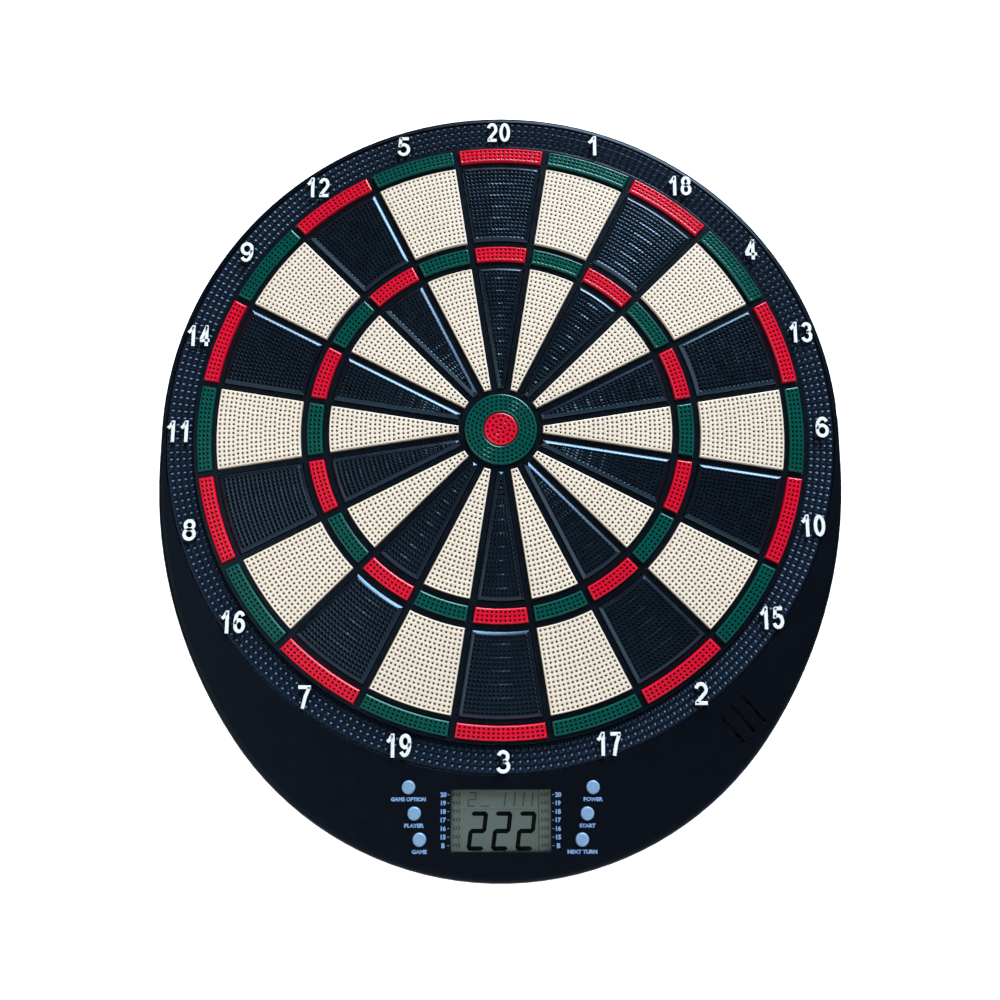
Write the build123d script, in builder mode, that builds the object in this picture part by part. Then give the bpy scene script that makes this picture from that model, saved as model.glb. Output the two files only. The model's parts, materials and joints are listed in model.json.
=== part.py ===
from build123d import *
import math
import os

os.makedirs("parts", exist_ok=True)

# An electronic soft-tip dartboard that hangs on a wall.
# Frame: +Z up, the board faces -Y and +X is to a player's right.  The origin is on the wall,
# straight behind the middle of the bull.  Every "level" is a distance in front of the wall.
# Millimetres.

# ---------------------------------------------------------------- scoring area, radii from the bull
SECTORS = 20
SECTOR_NUMBERS = (20, 1, 18, 4, 13, 6, 10, 15, 2, 17, 3, 19, 7, 16, 8, 11, 14, 9, 12, 5)
target_radius = 170.0        # outer edge of the doubles
double_width = 7.9
double_bar = 3.2             # bar between the doubles and the outer singles
triple_radius = 108.5        # outer edge of the triples
triple_width = 8.4
triple_outer_bar = 3.8
triple_inner_bar = 4.0
outer_bull_radius = 20.3
inner_bull_radius = 9.4
bull_bar = 3.5               # bar between the outer bull and the inner singles
cell_gap = 3.8               # gap between the segments of neighbouring sectors

double_inner = target_radius - double_width
outer_single_outer = double_inner - double_bar
outer_single_inner = triple_radius + triple_outer_bar
triple_inner = triple_radius - triple_width
inner_single_outer = triple_inner - triple_inner_bar
inner_single_inner = outer_bull_radius + bull_bar
RING_CELLS = (
    (double_inner, target_radius),
    (outer_single_inner, outer_single_outer),
    (triple_inner, triple_radius),
    (inner_single_inner, inner_single_outer),
)

# ---------------------------------------------------------------- levels in front of the wall
floor_thickness = 2.5        # rear cover floor, its back is the wall face
standoff = 5.5               # room behind the backing plate for wall-screw heads
plate_thickness = 2.4
membrane_thickness = 0.5
mat_thickness = 1.5
press_travel = 1.2           # how far a segment moves when a dart hits
mat_clearance = 0.5          # left between a pressed segment and the mat
segment_flange = 1.8         # thickness of the rim that keeps a segment behind the bars
segment_height = 11.9
flange_gap = 0.1             # a resting segment's rim to the back of the bars
bar_height = 8.2

plate_back = floor_thickness + standoff
plate_front = plate_back + plate_thickness
membrane_front = plate_front + membrane_thickness
mat_front = membrane_front + mat_thickness
segment_back = mat_front + mat_clearance + press_travel
flange_front = segment_back + segment_flange
bars_back = flange_front + flange_gap
bars_front = bars_back + bar_height

# ---------------------------------------------------------------- segments and bars
segment_clearance = 0.4      # between a segment and the bars round it
flange_reach = 1.0           # how far a segment's rim reaches behind the bars
segment_edge = 0.7           # chamfer round a segment's face
bull_clearance = 0.4
bull_flange_reach = 1.4
shoulder_clearance = 0.4     # inner bull's rim to the shoulder in the outer bull
spider_rim = 1.8
spider_ear_border = 1.0      # round the boss that an ear is screwed to
spider_flange_width = 5.0
spider_flange_thickness = 1.5

spider_radius = target_radius + segment_clearance + spider_rim
spider_flange_radius = spider_radius + spider_flange_width

# ---------------------------------------------------------------- number ring
ring_clearance = 0.3
ring_width = 14.7
ring_step = 0.6              # gap from the bars' rim to the number ring
ring_thickness = 4.5
ring_proud = 0.5             # number ring above the front cover's face
peg_count = 10
peg_radius = 1.2
peg_length = 2.0
peg_start_angle = 9.0        # from +X, between two of the bars' screws
peg_clearance = 0.1
ring_edge = 0.5              # chamfer round the ring's face

ring_inner = spider_radius + ring_step
ring_outer = ring_inner + ring_width

# ---------------------------------------------------------------- housing
wall = 2.4
face_thickness = 2.4
front_edge_radius = 4.0
back_edge_radius = 1.5
rim_width = 3.7              # face left outside the number ring
shelf_thickness = 2.4        # carries the number ring
split_gap = 0.2              # front cover to rear cover
split_level = 9.5
lip_clearance = 0.2
lip_thickness = 1.2
lip_height = 2.0
lip_root_drop = 1.0          # the lip's thick root stops this far behind the joint
well_edge = 0.5              # the well's wall stops this far behind the face

face_front = bars_front - 0.2
face_back = face_front - face_thickness
recess_radius = ring_outer + ring_clearance
recess_wall_radius = recess_radius + wall
half_width = recess_radius + rim_width
ring_back = face_front + ring_proud - ring_thickness
shelf_back = ring_back - shelf_thickness
shelf_inner = spider_radius + segment_clearance

chin_height = 55.5           # from the number ring down to the lowest edge
side_drop = 19.0             # length of the upright sides below the bull's level
chin_narrowing = 15.5        # the chin's arc is this much tighter than the top
chin_depth = ring_outer + chin_height
chin_radius = half_width - chin_narrowing
chin_centre = chin_depth - chin_radius
# The side arc meets the upright side at side_drop and the chin's arc where both lie in line.
side_rise = chin_centre - side_drop
side_radius = (half_width**2 + side_rise**2 - chin_radius**2) / (2 * (half_width - chin_radius))

# ---------------------------------------------------------------- screws
screw_head_radius = 2.7
screw_head_height = 1.7
screw_shank_radius = 1.2
screw_passage = 1.6          # radius of a clearance hole
pilot_clearance = 0.05
pilot_spare = 1.0            # pilot hole past the tip of a housing screw
boss_radius = 3.5
rear_boss_border = 0.7       # bosses in the rear cover are this much wider
boss_ring = ring_outer - 6.0  # radius of the circle of bosses and ears
counterbore_depth = 2.6
counterbore_clearance = 0.4
small_head_radius = 2.1
small_shank_radius = 0.9
small_head_height = 1.4
small_passage = 1.2          # radius of a small clearance hole
small_boss_wall = 1.6
pilot_floor = 0.5            # face left over a small screw's pilot hole
tip_gap = 0.3                # from a small screw's tip to the end of its pilot hole
# The bosses stand round the ring every 18 degrees.  Housing and plate screws take turns, and the
# bars' screws go between them.  Straight below the bull the display takes the boss's place.
boss_pitch = 36
HOUSING_ANGLES = [18 + 2 * boss_pitch * n for n in range(5)]
PLATE_ANGLES = [-18 + 2 * boss_pitch * n for n in range(4)]
SPIDER_ANGLES = [boss_pitch * n for n in range(10)]
chin_boss_x = 88.0
chin_boss_lift = 35.0        # above the chin's lowest edge

chin_boss_z = -(chin_depth - chin_boss_lift)
CHIN_BOSSES = ((chin_boss_x, chin_boss_z), (-chin_boss_x, chin_boss_z))
screw_reach = 15.5           # level of the tips of the housing screws

# ---------------------------------------------------------------- display
display_width = 52.6
display_height = 31.4
display_drop = 23.15         # from the number ring to the middle of the display
lens_border = 1.8
lens_thickness = 1.0
lens_clearance = 0.2
glass_thickness = 1.6
strip_height = 1.0           # elastomer strips between glass and board
strip_width = 1.8
frame_wall = 1.2
board_thickness = 1.2
board_overhang = 31.7        # board past the display's side
board_screw_gap = 8.4        # from the display's side to a board screw
board_top_border = 3.45      # board past the display's top and bottom
board_bottom_border = 3.5
board_screw_drop = 2.6       # board screws in from the board's top and bottom
board_screw_lift = 3.0
board_corner = 1.0
board_screw_clearance = 0.2
lens_gap = 0.1               # lens to glass
frame_clearance = 0.2        # round the glass

display_z = -(ring_outer + display_drop)
lens_width = display_width + 2 * lens_border
lens_height = display_height + 2 * lens_border
lens_back = face_back
glass_front = lens_back - lens_gap
glass_back = glass_front - glass_thickness
board_front = glass_back - strip_height
board_back = board_front - board_thickness
board_half_width = display_width / 2 + board_overhang
board_top = display_z + display_height / 2 + board_top_border
board_bottom = display_z - display_height / 2 - board_bottom_border
board_screw_x = display_width / 2 + board_screw_gap
BOARD_SCREWS = [(side * board_screw_x, level) for side in (1, -1)
                for level in (board_top - board_screw_drop, board_bottom + board_screw_lift)]

# ---------------------------------------------------------------- buttons and key mats
button_radius = 3.5
button_clearance = 0.3
button_flange = 1.5          # wider than the cap by this
button_flange_thickness = 1.0
button_proud = 1.3
button_travel = 0.8
button_slack = 0.2           # flange to the back of the face
key_mat_thickness = 0.6
key_mat_corner = 2.0
key_mat_outer_border = 1.5   # past the outer caps
key_mat_inner_border = 0.7
key_mat_top_inset = 1.5      # short of the top caps, clear of the board's sockets
key_mat_bottom_border = 1.0
button_edge = 0.8            # rounding of a cap's edge
# From the display's side and middle: three each side, along a line that leans inwards.
BUTTON_PLACES = ((22.4, 16.95), (19.2, 3.65), (16.3, -9.45))
LEFT_BUTTONS = ("mode_button", "players_button", "game_button")
RIGHT_BUTTONS = ("power_button", "start_button", "next_button")

button_front = face_front + button_proud
button_flange_front = face_back - button_slack
button_back = button_flange_front - button_flange_thickness
key_mat_front = board_front + key_mat_thickness

# ---------------------------------------------------------------- speaker
speaker_radius = 12.5
speaker_angle = -50.75       # round from +X, seen from the front
speaker_edge = 14.4          # from the recess wall to the speaker's middle
speaker_depth = 5.2
magnet_radius = 7.0
magnet_height = 2.5
gasket_thickness = 1.0
gasket_width = 2.5
speaker_fence = 1.2          # wall round the speaker, on the front cover
speaker_clearance = 0.3
speaker_rim = 1.2            # thickness of the basket's rim
basket_narrowing = 1.5       # basket tighter at the magnet than at the rim
cone_depth = 1.5
cone_taper = 35.0
slot_length = 19.5
slot_width = 1.8
slot_pitch = 8.0
slot_lean = -48.0
slot_count = 3

speaker_distance = recess_wall_radius + speaker_edge
speaker_x = speaker_distance * math.cos(math.radians(speaker_angle))
speaker_z = speaker_distance * math.sin(math.radians(speaker_angle))
speaker_front = face_back - gasket_thickness
magnet_front = speaker_front - speaker_depth
magnet_back = magnet_front - magnet_height

# ---------------------------------------------------------------- battery box
cell_radius = 7.2
cell_length = 49.3
cell_count = 3
nub_radius = 2.75
nub_length = 1.2
cell_slack = 0.1             # round each cell
nub_gap = 0.02               # cell to its contact
contact_size = 9.0
contact_thickness = 0.4
spring_length = 5.1          # a pressed spring, with its slack
spring_wire = 0.3            # radius of the wire
spring_turns = 4
spring_slack = 0.2           # left of a spring's length at its ends
spring_gap = 0.05            # wire to its contact
box_wall = 1.2
box_roof = 0.9
door_thickness = 1.6
door_clearance = 0.3
door_inset = 0.2             # door's outer face in from the wall face
door_border = 2.1            # door wider than the box's opening
door_room = 0.3              # cells to the door
box_spare = 0.2              # left above and below the cells
grip_lift = 6.0              # from the door's lower edge to the middle of its grip
grip_length = 16.0
grip_width = 0.8
grip_pitch = 2.0
grip_depth = 0.5
grip_count = 4
seat_thickness = 4.0
seat_border = 4.8
hinge_pin_radius = 1.0
hinge_clearance = 0.05
hinge_pin_length = 1.8
hinge_end_play = 0.3
hinge_level = 1.75
box_drop = 1.6               # how far the box's inner top reaches above the well's lowest edge

coil_height = spring_length - 2 * spring_wire - spring_slack
door_front = door_inset + door_thickness
cell_level = door_front + cell_slack + door_room + cell_radius
box_front_inside = cell_level + cell_radius + cell_slack
box_front = box_front_inside + box_roof
cell_pitch = 2 * (cell_radius + cell_slack)
box_half_width = (cell_length + nub_length + spring_length) / 2 + 2 * contact_thickness
box_half_height = cell_count * cell_pitch / 2 + box_spare
box_z = -(recess_radius - box_drop + box_half_height)
door_half_width = box_half_width + door_border
hinge_z = box_z + box_half_height + door_border - hinge_pin_radius
door_bottom = box_z - box_half_height - door_border
swing_room = hinge_level - door_inset + door_clearance

# ---------------------------------------------------------------- rear cover
keyhole_radius = 4.5
keyhole_slot_width = 4.6
keyhole_slot_length = 9.0
keyhole_x = 120.0
keyhole_z = 100.0
KEYHOLES = ((keyhole_x, keyhole_z), (-keyhole_x, keyhole_z))
rib_thickness = 1.6
RIB_RADII = (60.0, 120.0)
SPOKES = 12
rib_gap = 0.1                # ribs to the backing plate

# ---------------------------------------------------------------- behind the segments
mat_border = 2.0             # mat and film wider than the bars
plate_gap = 1.0              # plate to the bosses round it
plate_ear_border = 1.5

# ---------------------------------------------------------------- on the board
tail_x = 45.0                # the film's two tails, from the middle of the board
tail_half_width = 6.0
tail_drop = 7.0              # from the number ring to a tail's socket
socket_border = 1.5          # socket past its tail at each end
socket_width = 4.0
socket_height = 2.0
component_height = 1.8
chip_cover_radius = 6.0
chip_cover_height = 1.6
chip_cover_lift = 3.0        # above the middle of the display
crystal_length = 9.0
crystal_width = 3.6
crystal_offset = (4.0, -4.0)  # from a tail and from the middle of the display
capacitor_radius = 2.0
CAPACITOR_OFFSETS = ((-6.0, -1.0), (-6.0, -7.0))
resistor_length = 2.4
resistor_width = 1.2
resistor_pitch = 4.0
resistor_count = 4
resistor_drop = 9.0

tail_z = -(ring_outer + tail_drop)

# ---------------------------------------------------------------- leads
lead_radius = 0.6
lead_pitch = 3.0


def front_plane(level, turn=0.0):
    """Plane parallel to the wall at a level, turned clockwise as seen from the front."""
    angle = math.radians(turn)
    across = (math.cos(angle), 0, -math.sin(angle))
    return Plane(origin=(0, -level, 0), x_dir=across, z_dir=(0, -1, 0))


class RingCell(BaseSketchObject):
    """One cell of a scoring ring, middle on local +Y: two arcs, and sides a fixed gap from
    the sector's edges."""

    def __init__(self, inner, outer, side_gap, rotation=0, mode=Mode.ADD):
        half_angle = math.pi / SECTORS
        def corner(radius):
            along = math.sqrt(radius**2 - side_gap**2)
            x = along * math.sin(half_angle) - side_gap * math.cos(half_angle)
            y = along * math.cos(half_angle) + side_gap * math.sin(half_angle)
            return x, y

        outer_x, outer_y = corner(outer)
        inner_x, inner_y = corner(inner)
        with BuildSketch() as cell:
            with BuildLine():
                ThreePointArc((-outer_x, outer_y), (0, outer), (outer_x, outer_y))
                Line((outer_x, outer_y), (inner_x, inner_y))
                ThreePointArc((inner_x, inner_y), (0, inner), (-inner_x, inner_y))
                Line((-inner_x, inner_y), (-outer_x, outer_y))
            make_face()
        super().__init__(obj=cell.sketch, rotation=rotation, align=None, mode=mode)


class HousingOutline(BaseSketchObject):
    """The housing seen from the front: a half circle over upright sides, a wide arc down each
    side and a tighter arc under the chin.  Each arc meets the next in line.  inset moves the
    whole outline inwards."""

    def __init__(self, inset=0.0, rotation=0, mode=Mode.ADD):
        side = half_width - inset
        side_centre_x = half_width - side_radius
        reach = side_radius - chin_radius
        meet_x = side_centre_x - (side_radius - inset) * side_centre_x / reach
        meet_y = -side_drop - (side_radius - inset) * side_rise / reach
        # A point on the side arc halfway between its ends, found by direction from its centre.
        bend = math.atan2(side_rise, -side_centre_x) / 2
        bend_x = side_centre_x + (side_radius - inset) * math.cos(bend)
        bend_y = -side_drop - (side_radius - inset) * math.sin(bend)
        with BuildSketch() as outline:
            with BuildLine():
                ThreePointArc((-side, 0), (0, side), (side, 0))
                Line((side, 0), (side, -side_drop))
                ThreePointArc((side, -side_drop), (bend_x, bend_y), (meet_x, meet_y))
                ThreePointArc((meet_x, meet_y), (0, inset - chin_depth), (-meet_x, meet_y))
                ThreePointArc((-meet_x, meet_y), (-bend_x, bend_y), (-side, -side_drop))
                Line((-side, -side_drop), (-side, 0))
            make_face()
        super().__init__(obj=outline.sketch, rotation=rotation, align=None, mode=mode)


class PanScrew(BasePartObject):
    """Screw with a cross recess, pointing along local +Z, its head's underside at the origin."""

    def __init__(self, head_radius, head_height, shank_radius, length, rotation=(0, 0, 0),
                 align=None, mode=Mode.ADD):
        with BuildPart() as screw:
            Cylinder(head_radius, head_height, align=(Align.CENTER, Align.CENTER, Align.MAX))
            fillet(screw.edges().sort_by(Axis.Z)[0], 0.4 * head_height)
            Cylinder(shank_radius, length, align=(Align.CENTER, Align.CENTER, Align.MIN))
            chamfer(screw.edges().sort_by(Axis.Z)[-1], 0.5 * shank_radius)
            with BuildSketch(Plane.XY.offset(-head_height)):
                Rectangle(1.1 * head_radius, 0.28 * head_radius)
                Rectangle(0.28 * head_radius, 1.1 * head_radius)
            extrude(amount=0.55 * head_height, mode=Mode.SUBTRACT)
        super().__init__(part=screw.part, rotation=rotation, align=align, mode=mode)


def save(builder, name):
    """Name a finished piece and write it."""
    builder.part.label = name
    export_step(builder.part, f"parts/{name}.step")


# ================================================================ segments
# The four segments of a sector share one node.
for place, number in enumerate(SECTOR_NUMBERS):
    turn = place * 360 / SECTORS
    with BuildPart() as sector:
        for cell_inner, cell_outer in RING_CELLS:
            with BuildSketch(front_plane(segment_back, turn)):
                RingCell(cell_inner, cell_outer, cell_gap / 2)
            extrude(amount=segment_height)
        chamfer(sector.faces().group_by(Axis.Y)[0].edges(), segment_edge)
        for cell_inner, cell_outer in RING_CELLS:
            with BuildSketch(front_plane(segment_back, turn)):
                RingCell(cell_inner - flange_reach, cell_outer + flange_reach,
                         cell_gap / 2 - flange_reach)
            extrude(amount=segment_flange)
    save(sector, f"sector_{number:02d}")

bull_shoulder = flange_front + press_travel + shoulder_clearance
with BuildPart() as outer_bull:
    with BuildSketch(front_plane(segment_back)):
        Circle(outer_bull_radius)
        Circle(inner_bull_radius + bull_clearance, mode=Mode.SUBTRACT)
    extrude(amount=segment_height)
    chamfer(outer_bull.faces().sort_by(Axis.Y)[0].edges(), segment_edge)
    with BuildSketch(front_plane(segment_back)):
        Circle(outer_bull_radius + flange_reach)
        Circle(inner_bull_radius + bull_clearance, mode=Mode.SUBTRACT)
    extrude(amount=segment_flange)
    with BuildSketch(front_plane(segment_back)):
        Circle(inner_bull_radius + bull_flange_reach + bull_clearance)
    extrude(amount=bull_shoulder - segment_back, mode=Mode.SUBTRACT)
save(outer_bull, "outer_bull")

with BuildPart() as inner_bull:
    with BuildSketch(front_plane(segment_back)):
        Circle(inner_bull_radius)
    extrude(amount=segment_height)
    chamfer(inner_bull.faces().sort_by(Axis.Y)[0].edges(), segment_edge)
    with BuildSketch(front_plane(segment_back)):
        Circle(inner_bull_radius + bull_flange_reach)
    extrude(amount=segment_flange)
save(inner_bull, "inner_bull")

# ================================================================ spider
# One moulding: a disc with a pocket for every segment, and a flange with ten screw ears.
with BuildPart() as spider:
    with BuildSketch(front_plane(bars_back)):
        Circle(spider_flange_radius)
        for angle in SPIDER_ANGLES:
            with PolarLocations(boss_ring, 1, start_angle=angle):
                Circle(boss_radius + spider_ear_border)
    extrude(amount=spider_flange_thickness)
    with BuildSketch(front_plane(bars_back)):
        Circle(spider_radius)
    extrude(amount=bar_height)
    with BuildSketch(front_plane(bars_back)):
        Circle(outer_bull_radius + segment_clearance)
        with PolarLocations(0, SECTORS):
            for cell_inner, cell_outer in RING_CELLS:
                RingCell(cell_inner - segment_clearance, cell_outer + segment_clearance,
                         cell_gap / 2 - segment_clearance)
    extrude(amount=bar_height, mode=Mode.SUBTRACT)
    with BuildSketch(front_plane(bars_back)):
        for angle in SPIDER_ANGLES:
            with PolarLocations(boss_ring, 1, start_angle=angle):
                Circle(small_passage)
    extrude(amount=spider_flange_thickness, mode=Mode.SUBTRACT)
save(spider, "spider")

# ================================================================ number ring
with BuildPart() as number_ring:
    with BuildSketch(front_plane(ring_back)):
        Circle(ring_outer)
        Circle(ring_inner, mode=Mode.SUBTRACT)
    extrude(amount=ring_thickness)
    chamfer(number_ring.faces().sort_by(Axis.Y)[0].edges(), ring_edge)
    with BuildSketch(front_plane(ring_back - peg_length)):
        with PolarLocations((ring_inner + ring_outer) / 2, peg_count, start_angle=peg_start_angle):
            Circle(peg_radius)
    extrude(amount=peg_length)
save(number_ring, "number_ring")

# ================================================================ front cover
with BuildPart() as front_cover:
    with BuildSketch(front_plane(split_level)):
        HousingOutline()
    extrude(amount=face_front - split_level)
    fillet(front_cover.faces().sort_by(Axis.Y)[0].edges(), front_edge_radius)
    with BuildSketch(front_plane(split_level)):
        HousingOutline(wall)
    extrude(amount=face_back - split_level, mode=Mode.SUBTRACT)
    # The well for the number ring, with its shelf and the opening for the bars.
    with BuildSketch(front_plane(shelf_back)):
        Circle(recess_wall_radius)
    extrude(amount=face_front - shelf_back - well_edge)
    with BuildSketch(front_plane(ring_back)):
        Circle(recess_radius)
    extrude(amount=face_front - ring_back, mode=Mode.SUBTRACT)
    with BuildSketch(front_plane(shelf_back)):
        Circle(shelf_inner)
    extrude(amount=shelf_thickness, mode=Mode.SUBTRACT)
    # Bosses under the shelf for the housing and backing plate screws.
    with BuildSketch(front_plane(plate_front)):
        for angle in HOUSING_ANGLES + PLATE_ANGLES:
            with PolarLocations(boss_ring, 1, start_angle=angle):
                Circle(boss_radius)
    extrude(amount=shelf_back - plate_front)
    # Bosses in the chin for the rear cover, and behind the display for the board.
    with BuildSketch(front_plane(split_level)):
        with Locations(*CHIN_BOSSES):
            Circle(boss_radius)
    extrude(amount=face_back - split_level)
    with BuildSketch(front_plane(board_front)):
        with Locations(*BOARD_SCREWS):
            Circle(small_shank_radius + small_boss_wall)
        with Locations((speaker_x, speaker_z)):
            Circle(speaker_radius + speaker_clearance + speaker_fence)
            Circle(speaker_radius + speaker_clearance, mode=Mode.SUBTRACT)
    extrude(amount=face_back - board_front)
    # Pilot holes, each stopping inside its boss.
    with BuildSketch(front_plane(plate_front)):
        for angle in HOUSING_ANGLES + PLATE_ANGLES:
            with PolarLocations(boss_ring, 1, start_angle=angle):
                Circle(screw_shank_radius + pilot_clearance)
    extrude(amount=screw_reach + pilot_spare - plate_front, mode=Mode.SUBTRACT)
    with BuildSketch(front_plane(split_level)):
        with Locations(*CHIN_BOSSES):
            Circle(screw_shank_radius + pilot_clearance)
    extrude(amount=screw_reach + pilot_spare - split_level, mode=Mode.SUBTRACT)
    with BuildSketch(front_plane(board_front)):
        with Locations(*BOARD_SCREWS):
            Circle(small_shank_radius + pilot_clearance)
    extrude(amount=face_back - board_front - pilot_floor, mode=Mode.SUBTRACT)
    with BuildSketch(front_plane(shelf_back)):
        for angle in SPIDER_ANGLES:
            with PolarLocations(boss_ring, 1, start_angle=angle):
                Circle(small_shank_radius + pilot_clearance)
    extrude(amount=shelf_thickness - pilot_floor, mode=Mode.SUBTRACT)
    # Holes through the shelf for the number ring's pegs.
    with BuildSketch(front_plane(shelf_back)):
        with PolarLocations((ring_inner + ring_outer) / 2, peg_count, start_angle=peg_start_angle):
            Circle(peg_radius + peg_clearance)
    extrude(amount=shelf_thickness, mode=Mode.SUBTRACT)
    # Display window with a rebate behind it for the lens.
    with BuildSketch(front_plane(face_back)):
        with Locations((0, display_z)):
            Rectangle(display_width, display_height)
    extrude(amount=face_thickness, mode=Mode.SUBTRACT)
    with BuildSketch(front_plane(face_back)):
        with Locations((0, display_z)):
            Rectangle(lens_width + 2 * lens_clearance, lens_height + 2 * lens_clearance)
    extrude(amount=lens_thickness, mode=Mode.SUBTRACT)
    # Button holes.
    with BuildSketch(front_plane(face_back)):
        for button_x, button_z in BUTTON_PLACES:
            for side in (-1, 1):
                with Locations((side * (display_width / 2 + button_x), display_z + button_z)):
                    Circle(button_radius + button_clearance)
    extrude(amount=face_thickness, mode=Mode.SUBTRACT)
    # Three leaning slots over the speaker.
    with BuildSketch(front_plane(face_back)):
        with Locations(Location((speaker_x, speaker_z), slot_lean)):
            with GridLocations(1, slot_pitch, 1, slot_count):
                SlotOverall(slot_length, slot_width)
    extrude(amount=face_thickness, mode=Mode.SUBTRACT)
save(front_cover, "front_cover")

# ================================================================ rear cover
with BuildPart() as rear_cover:
    with BuildSketch(front_plane(0)):
        HousingOutline()
    extrude(amount=split_level - split_gap)
    fillet(rear_cover.faces().sort_by(Axis.Y)[-1].edges(), back_edge_radius)
    with BuildSketch(front_plane(floor_thickness)):
        HousingOutline(wall)
    extrude(amount=split_level, mode=Mode.SUBTRACT)
    # A lip inside the joint locates the front cover.
    with BuildSketch(front_plane(floor_thickness)):
        HousingOutline(wall + lip_clearance)
        HousingOutline(wall + lip_clearance + lip_thickness, mode=Mode.SUBTRACT)
    extrude(amount=split_level + lip_height - floor_thickness)
    with BuildSketch(front_plane(floor_thickness)):
        HousingOutline(wall / 2)
        HousingOutline(wall + lip_clearance + lip_thickness / 2, mode=Mode.SUBTRACT)
    extrude(amount=split_level - split_gap - floor_thickness - lip_root_drop)
    # Ribs under the backing plate: two rings and twelve spokes.
    with BuildSketch(front_plane(floor_thickness)):
        for rib_radius in RIB_RADII:
            Circle(rib_radius + rib_thickness / 2)
            Circle(rib_radius - rib_thickness / 2, mode=Mode.SUBTRACT)
        with PolarLocations((RIB_RADII[0] + spider_radius) / 2, SPOKES):
            Rectangle(spider_radius - RIB_RADII[0], rib_thickness)
    extrude(amount=standoff - rib_gap)
    # Bosses for the housing screws.
    with BuildSketch(front_plane(floor_thickness)):
        for angle in HOUSING_ANGLES:
            with PolarLocations(boss_ring, 1, start_angle=angle):
                Circle(boss_radius + rear_boss_border)
    extrude(amount=standoff - rib_gap)
    with BuildSketch(front_plane(floor_thickness)):
        with Locations(*CHIN_BOSSES):
            Circle(boss_radius + rear_boss_border)
    extrude(amount=split_level - rib_gap - floor_thickness)
    # Battery box: a thick seat for the door and thin walls up to the board.
    with BuildSketch(front_plane(0)):
        with Locations((0, box_z)):
            Rectangle(2 * (box_half_width + seat_border), 2 * (box_half_height + seat_border))
    extrude(amount=seat_thickness)
    with BuildSketch(front_plane(0)):
        with Locations((0, box_z)):
            Rectangle(2 * (box_half_width + box_wall), 2 * (box_half_height + box_wall))
    extrude(amount=box_front)
    with BuildSketch(front_plane(0)):
        with Locations((0, box_z)):
            Rectangle(2 * box_half_width, 2 * box_half_height)
    extrude(amount=box_front_inside, mode=Mode.SUBTRACT)
    # Rebate for the door, with room above the hinge for its edge to swing.
    with BuildSketch(front_plane(0)):
        with BuildLine():
            Polyline(
                (-door_half_width - door_clearance, hinge_z + swing_room),
                (door_half_width + door_clearance, hinge_z + swing_room),
                (door_half_width + door_clearance, door_bottom - door_clearance),
                (-door_half_width - door_clearance, door_bottom - door_clearance),
                close=True,
            )
        make_face()
    extrude(amount=door_front + door_clearance, mode=Mode.SUBTRACT)
    # Hinge sockets in the sides of the rebate.
    with BuildSketch(Plane.YZ):
        with Locations((-hinge_level, hinge_z)):
            Circle(hinge_pin_radius + hinge_clearance)
    extrude(amount=door_half_width + hinge_pin_length + hinge_end_play, both=True,
            mode=Mode.SUBTRACT)
    # Counterbored screw holes.
    with BuildSketch(front_plane(0)):
        for angle in HOUSING_ANGLES:
            with PolarLocations(boss_ring, 1, start_angle=angle):
                Circle(screw_head_radius + counterbore_clearance)
        with Locations(*CHIN_BOSSES):
            Circle(screw_head_radius + counterbore_clearance)
    extrude(amount=counterbore_depth, mode=Mode.SUBTRACT)
    with BuildSketch(front_plane(0)):
        for angle in HOUSING_ANGLES:
            with PolarLocations(boss_ring, 1, start_angle=angle):
                Circle(screw_passage)
        with Locations(*CHIN_BOSSES):
            Circle(screw_passage)
    extrude(amount=split_level, mode=Mode.SUBTRACT)
    # Two keyholes: a round entry with a narrow slot above it.
    with BuildSketch(front_plane(0)):
        for keyhole_place in KEYHOLES:
            with Locations(keyhole_place):
                Circle(keyhole_radius)
                with Locations((0, keyhole_slot_length / 2)):
                    SlotOverall(keyhole_slot_length + keyhole_slot_width, keyhole_slot_width,
                                rotation=90)
    extrude(amount=floor_thickness, mode=Mode.SUBTRACT)
save(rear_cover, "rear_cover")

# ================================================================ battery door
with BuildPart() as battery_door:
    with BuildSketch(front_plane(door_inset)):
        with BuildLine():
            Polyline(
                (-door_half_width, hinge_z),
                (door_half_width, hinge_z),
                (door_half_width, door_bottom),
                (-door_half_width, door_bottom),
                close=True,
            )
        make_face()
    extrude(amount=door_thickness)
    # Grip ridges near the lower edge.
    with BuildSketch(front_plane(door_inset)):
        with Locations((0, door_bottom + grip_lift)):
            with GridLocations(1, grip_pitch, 1, grip_count):
                Rectangle(grip_length, grip_width)
    extrude(amount=grip_depth, mode=Mode.SUBTRACT)
    # The hinge bar runs the width of the door and ends in the two pins.
    with BuildSketch(Plane.YZ):
        with Locations((-hinge_level, hinge_z)):
            Circle(hinge_pin_radius)
    extrude(amount=door_half_width + hinge_pin_length, both=True)
save(battery_door, "battery_door")

# ================================================================ cells and their contacts
contact_x = box_half_width - contact_thickness
cell_places = [box_z + (row - (cell_count - 1) / 2) * cell_pitch for row in range(cell_count)]
with BuildPart() as battery_cells:
    for row, cell_z in enumerate(cell_places):
        positive = 1 if row % 2 == 0 else -1
        nub_tip = positive * (contact_x - nub_gap)
        base = nub_tip - positive * (cell_length + nub_length)
        start_plane = Plane(origin=(base, -cell_level, cell_z), z_dir=(positive, 0, 0))
        with BuildSketch(start_plane):
            Circle(cell_radius)
        extrude(amount=cell_length)
        with BuildSketch(start_plane):
            Circle(nub_radius)
        extrude(amount=cell_length + nub_length)
save(battery_cells, "battery_cells")

with BuildPart() as battery_contacts:
    for row, cell_z in enumerate(cell_places):
        for side in (-1, 1):
            with Locations((side * (box_half_width - contact_thickness / 2), -cell_level, cell_z)):
                Box(contact_thickness, contact_size, contact_size)
save(battery_contacts, "battery_contacts")

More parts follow.
